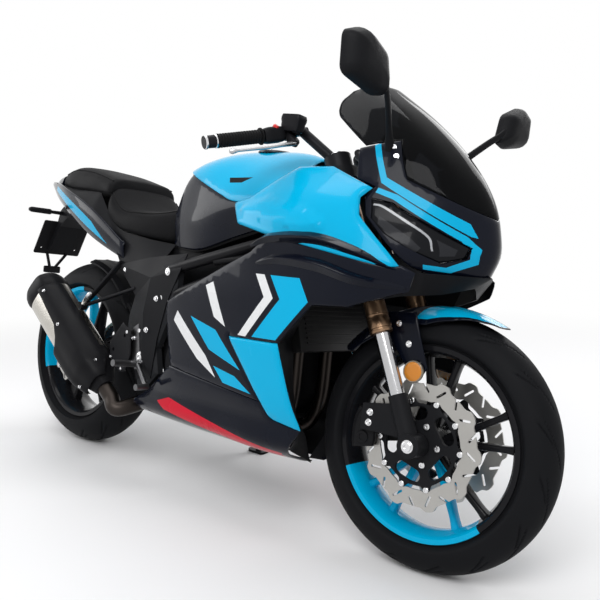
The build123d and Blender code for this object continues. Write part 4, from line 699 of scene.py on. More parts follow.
GUARD_HALF = 70
GUARD_EDGE = [(0, -58), (14, -66), (120, -70), (260, -70), (330, -62), (400, -46), (432, -30), (444, 0),
              (432, 30), (400, 46), (330, 62), (260, 70), (120, 70), (14, 66), (0, 58), (-6, 0)]
GUARD_FLASH = np.array([(228, -64), (300, -6), (437, -4), (428, -27), (396, -42), (330, -57), (262, -65)],
                       float)
GUARD_FACET = np.array([(196, -66), (264, -8), (296, -7), (225, -65)], float)
guard_paints = [(area * (1, s), paint) for area, paint in ((GUARD_FLASH, 1), (GUARD_FACET, 2))
                for s in (1, -1)]
guard = trimmed(arch(FRONT_AXLE, 319, GUARD_HALF, 142, 46), GUARD_EDGE, guard_paints, step=8, roll=2)
facet_grey = finish("facet_grey", (0.030, 0.032, 0.037), (0.042, 0.044, 0.050), 0.34, coat=0.4, scale=900,
                    bump=0.05, shine=DULL)
GUARD_PLATE = [(1262, 590), (1350, 598), (1396, 474), (1388, 458), (1346, 462), (1292, 528)]
plate = trimmed(lambda a, b: np.stack([a, -76 - 4 * np.sin((b - 458) / 140 * pi), b], 1), GUARD_PLATE,
                step=10, roll=4)
piece("front_mudguard_arch", [guard, plate, other_side(plate)], [gloss_black, blue_paint, facet_grey],
      "steering", ("front_mudguard",), steered=True, wall=3.2, lining=black_plastic)
PLATE_BOLTS = [(1376, 478), (1312, 566), (1344, 522)]
plate_bolts = [bolt((x, s * 80, z), (0, s, 0), 5.5, 5) for s in (-1, 1) for x, z in PLATE_BOLTS]
piece("mudguard_bolts", plate_bolts, [bright_steel], "steering", steered=True)

# Side reflectors: round amber plastic lenses in a dull metal rim, one on each of the mudguard's plates.
# Lens and rim are turned profiles about a line across the bike.
amber = finish("amber_lens", (0.52, 0.17, 0.006), (0.62, 0.22, 0.010), 0.2, coat=1.0, scale=1500, bump=0.5)
lens, rims = [], []
for s in (-1, 1):
    seat, face = np.array([1368, s * 83, 462]), np.array([1368, s * 91, 462])
    lens.append(lathed(seat, face, [(0, 22), (0.75, 22), (0.92, 19), (1, 11)], 48))
    rims.append(lathed(seat, face, [(0, 25), (0.8, 25), (0.9, 24), (0.86, 22), (0.5, 22)], 48))
pale_rim = finish("pale_rim", (0.20, 0.17, 0.13), (0.26, 0.22, 0.17), 0.35, metal=0.6, scale=500, bump=0.03)
piece("reflector_lenses", lens, [amber], "steering", ("fork_reflectors",), steered=True)
piece("reflector_rims", rims, [pale_rim], "steering", steered=True)

# Handlebars: clip-on bars with ribbed rubber grips, capped ends, switch boxes, levers and the brake
# reservoir. Grips and caps are turned along the bar; levers are flat ovals carried along a bent path.
BAR_ROOT, BAR_END = np.array([1000, 132, 1010]), np.array([896, 349, 936])
grip_rubber = finish("grip_rubber", (0.007, 0.007, 0.0075), (0.012, 0.012, 0.0125), 0.62, scale=1300,
                     bump=0.3, shine=DULL)
bar_metal = finish("bar_metal", (0.010, 0.010, 0.0115), (0.016, 0.016, 0.018), 0.36, metal=0.2, scale=900,
                   bump=0.1, shine=DULL)
lever_alloy = finish("lever_alloy", (0.40, 0.40, 0.41), (0.48, 0.48, 0.49), 0.36, metal=1.0,
                     scale=900, bump=0.06)
red_button = finish("red_button", (0.55, 0.012, 0.010), (0.62, 0.02, 0.016), 0.3, coat=0.6,
                    scale=900, bump=0.05)
dress(bar_metal, "handlebars")


def bar_point(share, side):
    """A point along a bar, from its root to its end."""
    return (BAR_ROOT + (BAR_END - BAR_ROOT) * share) * (1, side, 1)


def cubic(t, start, end, first, last):
    """Cubic curve at a share t between two values that has a given slope at each of them."""
    return ((2 * t ** 3 - 3 * t ** 2 + 1) * start + (t ** 3 - 2 * t ** 2 + t) * first
            + (3 * t ** 2 - 2 * t ** 3) * end + (t ** 3 - t ** 2) * last)


def flowing(points, count):
    """Smooth line through points: cubics whose slope is half the step between a point's neighbours."""
    p = np.asarray(points, float)
    slope = np.gradient(p, axis=0)
    at = np.linspace(0, len(p) - 1, count)
    k = np.minimum(at.astype(int), len(p) - 2)
    t = (at - k)[:, None]
    return cubic(t, p[k], p[k + 1], slope[k], slope[k + 1])


rib_share = np.linspace(0.06, 0.96, 91)
rib_high = 16.2 + 0.9 * np.sign(np.sin(rib_share * 34 * pi))
GRIP = [(0, 21), (0.025, 21), (0.03, 16), *np.stack([rib_share, rib_high], 1).tolist(),
        (0.965, 17.5), (1, 16.5)]
BOX_SIZES = [(17, 16), (20, 19), *[(21, 20)] * 5, (20, 19), (17, 16)]
ARM_SIZES = [(10, 9), (13, 11), (13, 11), (12, 11), (11, 11), (11, 11), (12, 12), (13, 13), (13, 13)]
CUP_SIZES = [(23, 15), (26, 17), (27, 18), (27, 18), (29, 19.5), (29, 19.5), (27, 18)]
grip_shells, cap_shells, ring_shells, box_shells, lever_shells, perch_shells = [], [], [], [], [], []
for s in (-1, 1):
    grip_shells.append(lathed(bar_point(0.46, s), bar_point(0.93, s), GRIP, 36))
    cap_shells.append(lathed(bar_point(0.945, s), bar_point(1.06, s),
                             [(0, 13), (0.05, 15.5), (0.9, 15), (1, 12)], 32))
    ring_shells += [lathed(bar_point(u, s), bar_point(v, s), [(0, 15), (0.2, 17), (0.8, 17), (1, 15)], 32)
                    for u, v in ((0.932, 0.95), (1.03, 1.055))]
    box_shells.append(swept(straight(bar_point(0.225, s), bar_point(0.44, s), 9), oval(32, 4), BOX_SIZES))
    pivot = np.array([1010, s * 186, 968])
    blade = flowing([pivot + (6, -s * 8, 2), (1012, s * 214, 958), (996, s * 250, 944), (972, s * 292, 930),
                     (946, s * 330, 917)], 28)
    width = np.interp(np.linspace(0, 1, 28), [0, 0.1, 0.3, 0.9, 0.95, 1], [8, 8.5, 7, 6, 8.5, 4])
    deep = width * np.interp(np.linspace(0, 1, 28), [0, 0.9, 0.95, 1], [0.7, 0.62, 1, 1])
    lever_shells.append(swept(blade, oval(20, 2.6), np.stack([width, deep], 1)))
    arm = flowing([pivot + (10, -s * 6, 0), (1000, s * 176, 984), bar_point(0.16, s)], 9)
    perch_shells.append(swept(arm, oval(24, 4), ARM_SIZES))
    perch_shells.append(lathed(bar_point(0.10, s), bar_point(0.21, s),
                               [(0, 17), (0.1, 18), (0.9, 18), (1, 17)], 28))
cup = np.array([1006, -182, 998])
cup_foot = flowing([cup + (2, 0, 4), (1016, -168, 996), bar_point(0.14, -1)], 8)
reservoir = [swept(straight(cup, cup + (3, 0, 40), 7), oval(40, 7), CUP_SIZES, up=(0, 1, 0)),
             swept(cup_foot, oval(14), [6] * 8)]
piece("bar_grips", grip_shells, [grip_rubber], "steering", ("grips",),
      steered=True, sharp=50)
piece("bar_end_caps", cap_shells, [bar_metal], "steering", steered=True)
piece("bar_end_rings", ring_shells, [bright_steel], "steering", steered=True)
piece("switch_boxes", box_shells, [black_plastic], "steering",
      ("bar_controls",), steered=True)
piece("hand_levers", lever_shells, [lever_alloy], "steering", steered=True)
piece("lever_perches", perch_shells + reservoir, [bar_metal], "steering", steered=True)
stop_spot = bar_point(0.36, -1) + np.array([12, 0, 17])
piece("stop_switch", [lathed(stop_spot, stop_spot + (5, 0, 8), [(0, 8), (0.7, 8), (1, 5.5)], 20)],
      [red_button], "steering", steered=True)

# Frame: a black painted tube trellis, cast pivot plates and box swingarm, with bright bolts at the joints.
# The solids are kept as they are, with the drive and the stand, and get their finishes here.
frame_black = finish("frame_black", (0.006, 0.006, 0.0075), (0.011, 0.011, 0.0125), 0.34, coat=0.4,
                     scale=700, bump=0.12, shine=DULL)
dress(frame_black, "steering_head", "trellis_left", "trellis_right", "swingarm", "subframe", "fairing_stay")
plate_grey = finish("plate_grey", (0.017, 0.018, 0.020), (0.025, 0.026, 0.029), 0.42, scale=1200,
                    bump=0.25, shine=DULL)
dress(plate_grey, "pivot_plates")
dress(dark_casting, "engine")
dress(bright_steel, "swingarm_bolts")
dress(black_plastic, "hanger", "undertray", "dash")
peg_alloy = finish("peg_alloy", (0.10, 0.10, 0.105), (0.15, 0.15, 0.155), 0.4, metal=1.0,
                   scale=900, bump=0.1)
dress(peg_alloy, "footrests")
dress(frame_black, "side_stand")
radiator_black = finish("radiator_black", (0.012, 0.012, 0.013), (0.022, 0.022, 0.023), 0.45, metal=0.5,
                        scale=700, bump=0.1)
dress(radiator_black, "radiator")
chain_steel = finish("chain_steel", (0.16, 0.14, 0.10), (0.26, 0.23, 0.17), 0.38, metal=1.0,
                     scale=800, bump=0.1)
dress(chain_steel, "chain")
dress(dark_casting, "rear_sprocket")
FRAME_BOLTS = [(590, 176, 627, 11), (566, 176, 548, 11), (507, 187, 368, 13), (484, 176, 340, 7),
               (545, 176, 610, 6), (478, 176, 440, 7), (497, 186, 446, 6), (466, 186, 420, 6)]
piece("frame_bolts", [bolt((x, s * y, z), (0, s, 0), r) for s in (-1, 1) for x, y, z, r in FRAME_BOLTS],
      [bright_steel], "chassis")

# Rear shock: a damper body in a coil spring between the bridge and the frame.
# The wire's middle runs round the damper as it climbs, and a circle is carried along it.
SHOCK_FOOT, SHOCK_HEAD = np.array([392, 0, 388]), np.array([452, 0, 640])
climb = np.linspace(0.2, 0.82, 260)
shock_run = SHOCK_HEAD - SHOCK_FOOT
shock_side = np.cross(shock_run, (0, 1, 0)) / np.linalg.norm(shock_run)
COIL_TURNS, COIL_RADIUS, WIRE_RADIUS = 12, 25, 5.2
wind = climb * COIL_TURNS * 2 * pi
round_it = np.cos(wind)[:, None] * shock_side + np.sin(wind)[:, None] * (0, 1, 0)
coil = SHOCK_FOOT + shock_run * climb[:, None] + COIL_RADIUS * round_it
spring_paint = finish("spring_paint", (0.30, 0.16, 0.05), (0.36, 0.20, 0.07), 0.3, coat=0.6,
                      scale=700, bump=0.05)
piece("shock_spring", [swept(coil, oval(10), [WIRE_RADIUS] * 260, up=shock_run)], [spring_paint], "chassis")
DAMPER = [(0, 15), (0.16, 15), (0.17, 29), (0.19, 29), (0.2, 15), (0.55, 15), (0.56, 9), (0.80, 9),
          (0.81, 29), (0.84, 29), (0.85, 20), (1, 20)]
piece("shock_damper", [lathed(SHOCK_FOOT, SHOCK_HEAD, DAMPER)], [bar_metal], "chassis",
      ("shock",))

# Rear hugger: a short black plastic mudguard over the rear tyre, on stays from the swingarm.
# It is the front mudguard's arch about the rear axle, trimmed to its own edge.
HUGGER_EDGE = [(0, -60), (30, -74), (280, -78), (296, -70), (296, 70), (280, 78), (30, 74), (0, 60)]
hugger = trimmed(arch(REAR_AXLE, 326, 78, 86, 14), HUGGER_EDGE, step=10, roll=2)
piece("rear_hugger", [hugger], [black_plastic], "chassis", wall=3)
dress(black_plastic, "hugger")

# Exhaust: steel header pipes and link pipe, and a black silencer with a bright sleeve and a heat shield.
# Pipes are circles carried along smooth lines, and the silencer is a rounded section carried along its
# axis.
pipe_steel = finish("pipe_steel", (0.026, 0.022, 0.020), (0.046, 0.039, 0.035), 0.38, metal=1.0,
                    scale=500, bump=0.08)
HEADER = [(964, 0, 598), (990, 0, 590), (1003, 0, 560), (1001, 0, 450), (1000, 0, 340), (985, 0, 285),
          (952, 0, 243), (890, 0, 232), (800, 0, 230)]
headers = [swept(flowing(np.array(HEADER) + (0, y, 0), 60), oval(24), [19] * 60, up=(0, 1, 0))
           for y in (-60, 60)]
CAN_FOOT, CAN_END = np.array([376, -206, 256]), np.array([16, -230, 532])
can_run = (CAN_END - CAN_FOOT) / np.linalg.norm(CAN_END - CAN_FOOT)
inlet = CAN_FOOT - can_run * 40
LINK = [(800, -36, 230), (660, -47, 229), (540, -62, 228), (475, -108, 230), CAN_FOOT - can_run * 84, inlet,
        CAN_FOOT + can_run * 10]
piece("exhaust_tubes", headers + [swept(flowing(LINK, 60), oval(24), [24] * 60, up=(0, 1, 0.01))],
      [pipe_steel], "chassis", ("exhaust_pipes",))
can_black = finish("can_black", (0.006, 0.006, 0.007), (0.011, 0.011, 0.0125), 0.40, scale=1300,
                   bump=0.2, shine=DULL)
sleeve_steel = finish("silencer_steel", (0.48, 0.46, 0.42), (0.60, 0.58, 0.54), 0.28, metal=1.0,
                      scale=900, bump=0.06)
CAN = np.array([(-46, -58), (46, -58), (58, -20), (52, 48), (20, 66), (-20, 66), (-52, 48), (-58, -20)],
               float)


def rounded(outline, share, count):
    """Closed outline with its corners rounded: each corner becomes a parabola between points a share from
    it."""
    p = np.asarray(outline, float)
    before, after = np.roll(p, 1, axis=0), np.roll(p, -1, axis=0)
    t = np.linspace(0, 1, count)[None, :, None]
    start, end = p + (before - p) * share, p + (after - p) * share
    return ((1 - t) ** 2 * start[:, None] + 2 * t * (1 - t) * p[:, None]
            + t ** 2 * end[:, None]).reshape(-1, 2)


def can_length(first, last, sizes):
    """A length of the silencer between two distances from its foot."""
    at = np.linspace(first, last, len(sizes))[:, None]
    return swept(CAN_FOOT + can_run * at, rounded(CAN, 0.36, 6) * (-1, 1), sizes)


can_long = np.linalg.norm(CAN_END - CAN_FOOT)
body = can_length(0, 120, [0.46, 0.62, 0.8, 0.94, 1, 1])
sleeve = can_length(118, can_long - 56, [1, 1.005, 1.005, 1.005, 1])
cap = can_length(can_long - 62, can_long, [0.98, 1.04, 1.04, 1.0, 0.9])
piece("silencer_body", [body], [can_black], "chassis", ("silencer",))
piece("silencer_sleeve", [sleeve], [sleeve_steel], "chassis")
piece("silencer_cap", [cap], [can_black], "chassis")
outlet = CAN_END - can_run * 10
OUTLET = [(0, 26), (0.9, 26), (1, 24), (0.95, 21), (0.1, 20)]
piece("silencer_outlet", [lathed(outlet, outlet + can_run * 14, OUTLET, 32)], [pipe_steel], "chassis")
SHIELD_WAYS = [-96, -62, -28, 40, 84, 110]
SHIELD_OUT, SHIELD_UP = [-14, 23, 58, 65, 49, -4], [73, 72, 53, -20, -63, -65]


def eased(knots, values, at):
    """Smooth curve through knots, row by row: cubic pieces whose slope at a knot is the mean of the slopes
    beside it, each weighted by the other's length, and straight lines beyond the ends."""
    knots, values = (np.broadcast_to(np.asarray(a, float), (len(at), np.shape(a)[-1]))
                     for a in (knots, values))
    step = np.diff(knots, axis=1)
    rise = np.diff(values, axis=1) / step
    inner = (rise[:, :-1] * step[:, 1:] + rise[:, 1:] * step[:, :-1]) / (step[:, 1:] + step[:, :-1])
    slope = np.concatenate([rise[:, :1], inner, rise[:, -1:]], 1)
    line = np.arange(len(at))
    k = np.clip((knots <= at[:, None]).sum(1) - 1, 0, step.shape[1] - 1)
    span = step[line, k]
    way = (at - knots[line, k]) / span
    t = np.clip(way, 0, 1)
    first, last = slope[line, k] * span, slope[line, k + 1] * span
    curve = cubic(t, values[line, k], values[line, k + 1], first, last)
    return curve + np.where(way < 0, way * first, np.where(way > 1, (way - 1) * last, 0))


def shield_skin(way, across):
    """Skin round the outer side of the silencer over (way along, way round): the section eased from above
    to below, drawn in with the cone at the foot."""
    share = np.interp(way, [0, 30, 70, 110], [0.62, 0.78, 0.95, 1])
    out, up = (eased(np.array(SHIELD_WAYS, float), values, across) * share
               for values in (SHIELD_OUT, SHIELD_UP))
    side = np.array([0, -1, 0])
    top = np.cross(can_run, side)
    return CAN_FOOT + can_run * way[:, None] + out[:, None] * side + up[:, None] * top


SHIELD_EDGE = [(14, 92), (60, 104), (176, 104), (196, 70), (222, 24), (250, 4), (392, -8), (392, -88),
               (60, -88), (14, -60)]
shield = trimmed(shield_skin, SHIELD_EDGE, step=10, roll=3)
piece("silencer_shield", [shield], [can_black], "chassis", ("heat_shield",), wall=2.5)
shield_spots = shield_skin(np.array([40.0, 60, 150, 236, 372]), np.array([60.0, -50, 72, -10, -26]))
shield_bolts = [bolt(spot, (0, -1, 0.1), 4, 4) for spot in shield_spots]
piece("shield_bolts", shield_bolts, [bright_steel], "chassis")

# Side fairing: thin moulded panels on each side in gloss black and cyan, with slanted flashes and a red
# belly stripe. One smooth skin of half widths over length and height is cut along each panel's edges, which
# roll inwards.
SKIN = np.array([
    (430, 190, 70, 206, 132, 285, 156, 395, 160, 515, 166, 590, 168, 670, 152, 730, 122),
    (650, 182, 70, 204, 146, 295, 196, 410, 212, 520, 220, 640, 222, 720, 205, 800, 165),
    (850, 180, 70, 202, 146, 300, 206, 420, 230, 540, 242, 690, 246, 780, 217, 880, 168),
    (1050, 182, 70, 202, 142, 300, 206, 430, 236, 560, 252, 738, 254, 840, 224, 930, 164),
    (1200, 195, 70, 218, 130, 310, 194, 440, 232, 580, 250, 728, 253, 845, 220, 915, 168),
    (1300, 220, 70, 240, 125, 330, 185, 450, 215, 590, 238, 714, 244, 830, 206, 890, 172),
    (1450, 260, 60, 280, 100, 360, 130, 470, 150, 600, 160, 700, 172, 750, 150, 790, 120)], float)


def skin(lift=0, upper=False):
    """The right-hand skin over (x, z): knots of height and half width eased along the bike, then eased in
    height. The part below the chine and the part above it are two curves that meet in a crease."""
    picked = slice(11, 17) if upper else slice(1, 13)

    def surface(x, z):
        table = np.stack([eased(SKIN[:, 0], column, x) for column in SKIN[:, picked].T], 1)
        return np.stack([x, -eased(table[:, 0::2], table[:, 1::2], z) - lift, z], 1)
    return surface


SIDE_PANEL = [(1285, 872), (1268, 848), (1282, 805), (1357, 735), (1392, 700), (1374, 694), (1035, 746),
              (905, 772), (850, 828), (915, 842), (1045, 925), (1150, 925)]
MID_PANEL = [(1420, 686), (1392, 700), (1374, 694), (1035, 746), (985, 702), (725, 585), (640, 545),
             (672, 372), (940, 347), (1038, 338), (925, 486), (1095, 490), (1195, 592),
             (1290, 598), (1410, 645)]
BLADE = [(925, 486), (1095, 490), (1150, 287), (1062, 300), (1038, 338)]
LOWER_PANEL = [(672, 372), (605, 322), (480, 240), (492, 170), (1060, 170), (1112, 232), (1150, 287),
               (1062, 300), (1038, 338), (940, 347)]
FLASHES = [([(1064, 650), (1156, 650), (1186, 598), (1092, 498), (1012, 496), (1100, 596)], 1),
           ([(1014, 650), (1044, 650), (1078, 596), (990, 494), (962, 494), (1048, 596)], 2),
           ([(826, 606), (856, 618), (914, 508), (868, 528)], 2),
           ([(768, 520), (876, 496), (970, 406), (850, 442)], 1),
           ([(868, 402), (950, 388), (1008, 353), (905, 364)], 1),
           ([(690, 500), (706, 528), (836, 424), (876, 372), (800, 410)], 2)]
BELLY_STRIPE = [([(612, 262), (650, 244), (1058, 194), (1082, 218), (664, 280)], 3)]
white_paint = finish("white_paint", (0.66, 0.67, 0.68), (0.72, 0.73, 0.74), 0.28, coat=0.6,
                     scale=700, bump=0.01)
red_paint = finish("red_paint", (0.50, 0.006, 0.022), (0.56, 0.009, 0.028), 0.28, coat=0.6, scale=700,
                   bump=0.01, shine=DULL)
fairing_paints = [gloss_black, blue_paint, white_paint, red_paint]
PANEL_STEP, PANEL_WALL = 13, 3.2
SIDE_FACET = [(884, 816), (1000, 842), (1130, 818), (1232, 772), (1150, 752), (1035, 766), (925, 784)]


def embossed(surface, outline, high, ramp):
    """A right-hand skin lifted inside an outline: outwards by a height, reached over a ramp from its
    edge."""
    def raised(x, z):
        share = np.clip(edge_gap(np.stack([x, z], 1), outline) / ramp, 0, 1)
        return surface(x, z) - np.stack([0 * x, high * share, 0 * x], 1)
    return raised


def inset(outline, by):
    """A corner for each corner of an outline that runs round to the right, its sides moved inwards by a
    distance."""
    p = np.asarray(outline, float)
    run = np.roll(p, -1, axis=0) - p
    after = np.stack([run[:, 1], -run[:, 0]], 1) / np.linalg.norm(run, axis=1, keepdims=True)
    before = np.roll(after, 1, axis=0)
    return p + (before + after) * by / (1 + (before * after).sum(1, keepdims=True))


def both_sides(panel, surface, outline, paints, first_paint=0, roll=5):
    """A panel on the right and its mirror image on the left, each in the place of its solid."""
    points, faces, marks = trimmed(surface, outline, paints, step=PANEL_STEP, roll=roll)
    shell = points, faces, np.where(marks == 0, first_paint, marks)
    for way, half in (("left", other_side(shell)), ("right", shell)):
        piece(f"moulded_{panel}_{way}", [half], fairing_paints, "chassis", (f"{panel}_{way}",),
              wall=PANEL_WALL, sharp=40, lining=black_plastic)


both_sides("side_panel", embossed(skin(3, True), SIDE_FACET, 9, 14), SIDE_PANEL,
           [(SIDE_FACET, 1), (inset(SIDE_FACET, 14), 1)], 1, roll=9)
both_sides("mid_fairing", skin(), MID_PANEL, FLASHES)
both_sides("lower_fairing", skin(), LOWER_PANEL, BELLY_STRIPE)
blade = trimmed(skin(1.5), BLADE, step=PANEL_STEP, roll=6)
blade = blade[0], blade[1], blade[2] * 0 + 1
piece("moulded_front_blades", [blade, other_side(blade)], fairing_paints, "chassis",
      ("front_blades",), wall=PANEL_WALL, sharp=40, lining=black_plastic)

# Ridges, chin and inner sheets: raised gloss fins under the side panels, a pointed chin and black walls by
# the wheel. The fins stand on the side skin; chin and walls are ruled between two lines of points.
RIDGES = [([(985, 716), (1050, 738), (1180, 742), (1290, 722), (1384, 690)], 15, 15),
          ([(1010, 676), (1090, 690), (1200, 684), (1310, 660), (1404, 652)], 17, 13)]


def ridge(path, half, lift):
    """A fin along a path on the side skin, flush at both edges and lifted at its crest, fading out at the
    ends."""
    path = flowing(path, 44)
    fade = np.sin(np.linspace(0.02, pi - 0.02, 44)) ** 0.5
    rows = [skin(up)(path[:, 0], path[:, 1] + off * half * fade)
            - np.stack([0 * fade, high * lift * fade, 0 * fade], 1)
            for off, up, high in ((1, -3, 0), (0.9, 0, 0.05), (0.2, 0, 1), (0.05, 0, 1),
                                  (-0.9, 0, 0.05), (-1, -3, 0))]
    return np.concatenate(rows), grid(6, 44), 0


def ruled(first, last, rows=5, columns=32):
    """A sheet of straight lines from one line of points to another of as many."""
    at = np.linspace(0, len(first) - 1, columns)
    lines = [np.stack([np.interp(at, np.arange(len(line)), way) for way in np.transpose(line)], 1)
             for line in (first, last)]
    share = np.linspace(0, 1, rows)[:, None, None]
    return (lines[0] + (lines[1] - lines[0]) * share).reshape(-1, 3), grid(rows, columns), 0


fins = [ridge(*values) for values in RIDGES]
fins += [other_side(fin) for fin in fins]
piece("fairing_ridges", fins, [gloss_black], "chassis", closed=False, sharp=24)
CHIN_SIDE = [(1330, -206, 700), (1392, -172, 700), (1420, -160, 688), (1452, -96, 690), (1486, -34, 692),
             (1502, 0, 694)]
CHIN_FOOT = [(1300, -196, 612), (1372, -160, 634), (1400, -130, 640), (1424, -82, 646), (1450, -30, 660),
             (1462, 0, 668)]
WALL_FRONT = np.array([(1195, 592), (1095, 490), (1122, 390), (1149, 288), (1111, 233), (1060, 172)], float)
WALL_IN = [(1104, -150, 600), (1050, -132, 500), (1050, -122, 400), (1056, -104, 300), (1044, -40, 238),
           (1030, 0, 174)]
sheets = [ruled(CHIN_SIDE, CHIN_FOOT), ruled(skin(-6)(*WALL_FRONT.T), WALL_IN, 5, 46)]
sheets += [other_side(sheet) for sheet in sheets]
piece("chin_and_walls", sheets, [black_plastic], "chassis", sharp=40, wall=2)

# Nose: a gloss black cowl with two cyan lines a side, twin dark headlamps with a light line, and a smoked
# screen. One surface wraps the nose from cheek to cheek: way across against height, eased through seven
# lines of points.
NOSE = np.array([
    (688, 1492, 0, 1458, 66, 1372, 184, 1262, 222), (740, 1511, 0, 1492, 50, 1386, 180, 1258, 226),
    (800, 1506, 0, 1485, 50, 1372, 163, 1250, 213), (860, 1486, 0, 1464, 54, 1352, 150, 1240, 196),
    (960, 1414, 0, 1392, 64, 1308, 142, 1215, 176), (1060, 1304, 0, 1284, 64, 1212, 120, 1124, 138),
    (1140, 1190, 0, 1178, 44, 1150, 78, 1104, 94)], float)
NOSE_WAYS = np.array([-330, -190, -60, 0, 60, 190, 330], float)


def nose(depth=0):
    """The nose over (way across, height), set back by a depth. Minus is the right-hand side."""
    def surface(way, z):
        table = np.stack([eased(NOSE[:, 0], column, z) for column in NOSE[:, 1:].T], 1)
        x = eased(NOSE_WAYS, table[:, [6, 4, 2, 0, 2, 4, 6]], way)
        y = eased(NOSE_WAYS, table[:, [7, 5, 3, 1, 3, 5, 7]] * (-1, -1, -1, 0, 1, 1, 1), way)
        return np.stack([x - depth * 0.8, y * (1 - depth / 400), z], 1)
    return surface


def between(line, step):
    """Points along an open line no further apart than a step, its own points kept."""
    p = np.asarray(line, float)
    far = np.concatenate([[0], np.cumsum(np.linalg.norm(np.diff(p, axis=0), axis=1))])
    at = np.unique(np.concatenate([far, np.arange(0, far[-1], step)]))
    return np.stack([np.interp(at, far, p[:, k]) for k in range(p.shape[1])], 1)


def nose_ways(outline, step=10):
    """An outline in side view laid on the right of the nose: for each height, the way across that reaches
    that x. Of points on or past the middle line only those beside others are kept."""
    spots = between(outline, step)
    ways = np.linspace(-330, 0, 111)
    reach = nose()(np.tile(ways, len(spots)), np.repeat(spots[:, 1], 111))[:, 0].reshape(len(spots), 111)
    laid = np.array([(np.interp(x, np.maximum.accumulate(line), ways), z)
                     for (x, z), line in zip(spots, reach)])
    off = np.pad(laid[:, 0] < -0.5, 1)
    return laid[off[:-2] | off[1:-1] | off[2:]]


def band(path, half):
    """Closed outline along a path, so far to each side of it."""
    path = np.asarray(path, float)
    run = np.gradient(path, axis=0)
    side = np.stack([-run[:, 1], run[:, 0]], 1) / np.linalg.norm(run, axis=1, keepdims=True)
    wide = np.interp(np.linspace(0, 1, len(path)), [0, 0.5, 1], half)[:, None]
    return np.concatenate([path + side * wide, (path - side * wide)[::-1]])


def whole(right, flip=(-1, 1)):
    """A right-hand outline that ends on the middle line, joined to its mirror image."""
    return np.concatenate([right, (right * flip)[::-1]])


COWL = [(1540, 806), (1345, 894), (1308, 985), (1226, 962), (1240, 889.67), (1285, 872), (1268, 848),
        (1282, 805), (1357, 735), (1392, 700), (1420, 686), (1540, 686)]
HEADLAMP = [(1284, 846), (1332, 838), (1484, 754), (1476, 728), (1440, 712), (1336, 766), (1296, 800)]
SCREEN = [(1540, 806), (1345, 894), (1308, 985), (1238, 968), (1122, 1054)]
SCREEN_TOP = np.array([(-330, 1062), (-322, 1090), (-270, 1116), (-170, 1132), (-60, 1139), (0, 1140)],
                      float)
UPPER_LINE = [(1257, 974), (1271, 974), (1305, 894), (1472, 806), (1488, 776), (1478, 778), (1296, 881)]
LOWER_LINE = band([(1291, 864), (1334, 850), (1470, 771), (1489, 750), (1484, 724), (1446, 700),
                   (1412, 702)], [6, 7, 5])
lamp_edge = nose_ways(HEADLAMP)
line_paints = []
for outline in (UPPER_LINE, LOWER_LINE):
    laid = nose_ways([*outline, outline[0]], 14)[:-1]
    line_paints += [(laid, 1), (laid * (-1, 1), 1)]
cowl_edge = nose_ways(COWL)
cowl = trimmed(nose(), whole(cowl_edge), line_paints + [(lamp_edge, None), (lamp_edge * (-1, 1), None)],
               step=12, roll=3)
piece("nose_cowl", [cowl], [gloss_black, blue_paint], "chassis", ("upper_cowl",), wall=3,
      sharp=40, lining=black_plastic)
lamp_dark = finish("lamp_dark", (0.004, 0.0045, 0.006), (0.007, 0.0075, 0.0095), 0.14, coat=0.8, scale=300,
                   bump=0.02, spread=0.05, shine=DULL)
lamp_grey = finish("lamp_grey", (0.016, 0.017, 0.020), (0.026, 0.027, 0.031), 0.24, coat=0.8, scale=300,
                   bump=0.03, shine=DULL)
light_line = finish("light_line", (0.30, 0.31, 0.33), (0.38, 0.39, 0.41), 0.2, coat=1.0,
                    scale=300, bump=0.01)
bright_edge = nose_ways(band(flowing([(1296, 831), (1318, 827), (1370, 799), (1418, 768), (1430, 738)], 25),
                             [2.2, 2.4, 1.4]), 14)
inner_lamp = nose_ways([(1316, 806), (1388, 764), (1412, 742), (1404, 730), (1352, 764), (1318, 788)])
beam = nose_ways([(1432, 764), (1466, 746), (1462, 732), (1440, 728)])
lamp = trimmed(nose(7), lamp_edge, [(inner_lamp, 1), (beam, 1), (bright_edge, 2)], step=10, roll=4)
piece("headlamp_units", [lamp, other_side(lamp)], [lamp_dark, lamp_grey, light_line],
      "chassis", ("headlamps",), wall=3, sharp=40)
smoked = bpy.data.materials.new("smoked_screen")
tree, out = wired(smoked)
glassy, tinted, blend, grained = added(tree, "BsdfPrincipled", "MapRange", "Mix", "Group")
grained.node_tree, blend.data_type = grain, "RGBA"
preset(grained, {"Scale": 200})
preset(blend, {"A": (0.0045, 0.005, 0.0065, 1), "B": (0.007, 0.0078, 0.0095, 1)})
preset(tinted, {"To Min": 0.02, "To Max": 0.06})
preset(glassy, {"Transmission Weight": 0.75, "IOR": 1.15, "Specular IOR Level": 0.4})
joined(tree, (grained.outputs["Mask"], blend.inputs["Factor"]),
       (blend.outputs["Result"], glassy.inputs["Base Color"]),
       (grained.outputs["Mask"], tinted.inputs["Value"]),
       (tinted.outputs["Result"], glassy.inputs["Roughness"]), (glassy.outputs[0], out.inputs[0]))
screen_edge = np.concatenate([nose_ways(SCREEN)[:-1], SCREEN_TOP])
screen = trimmed(nose(), whole(screen_edge), step=13, roll=3)
piece("smoked_windscreen", [screen], [smoked], "chassis", ("screen",), wall=3.2, sharp=60)
screen_spots = nose()(*nose_ways([(1300, 966), (1312, 944)], 99).T)
screen_bolts = [bolt(spot * (1, -s, 1), (0.45, s, 0.2), 5, 4) for spot in screen_spots for s in (-1, 1)]
piece("screen_bolts", screen_bolts, [bright_steel], "chassis")

# Mirrors: black six-cornered plastic housings on flat stalks from the cowl, with the glass facing back.
# A rounded outline is drawn in and forward to a blunt front.
MIRROR_HEAD = [(252, 1052), (298, 1042), (400, 1064), (404, 1146), (356, 1166), (274, 1128)]
MIRROR_MIDDLE = np.array([330, 1112])


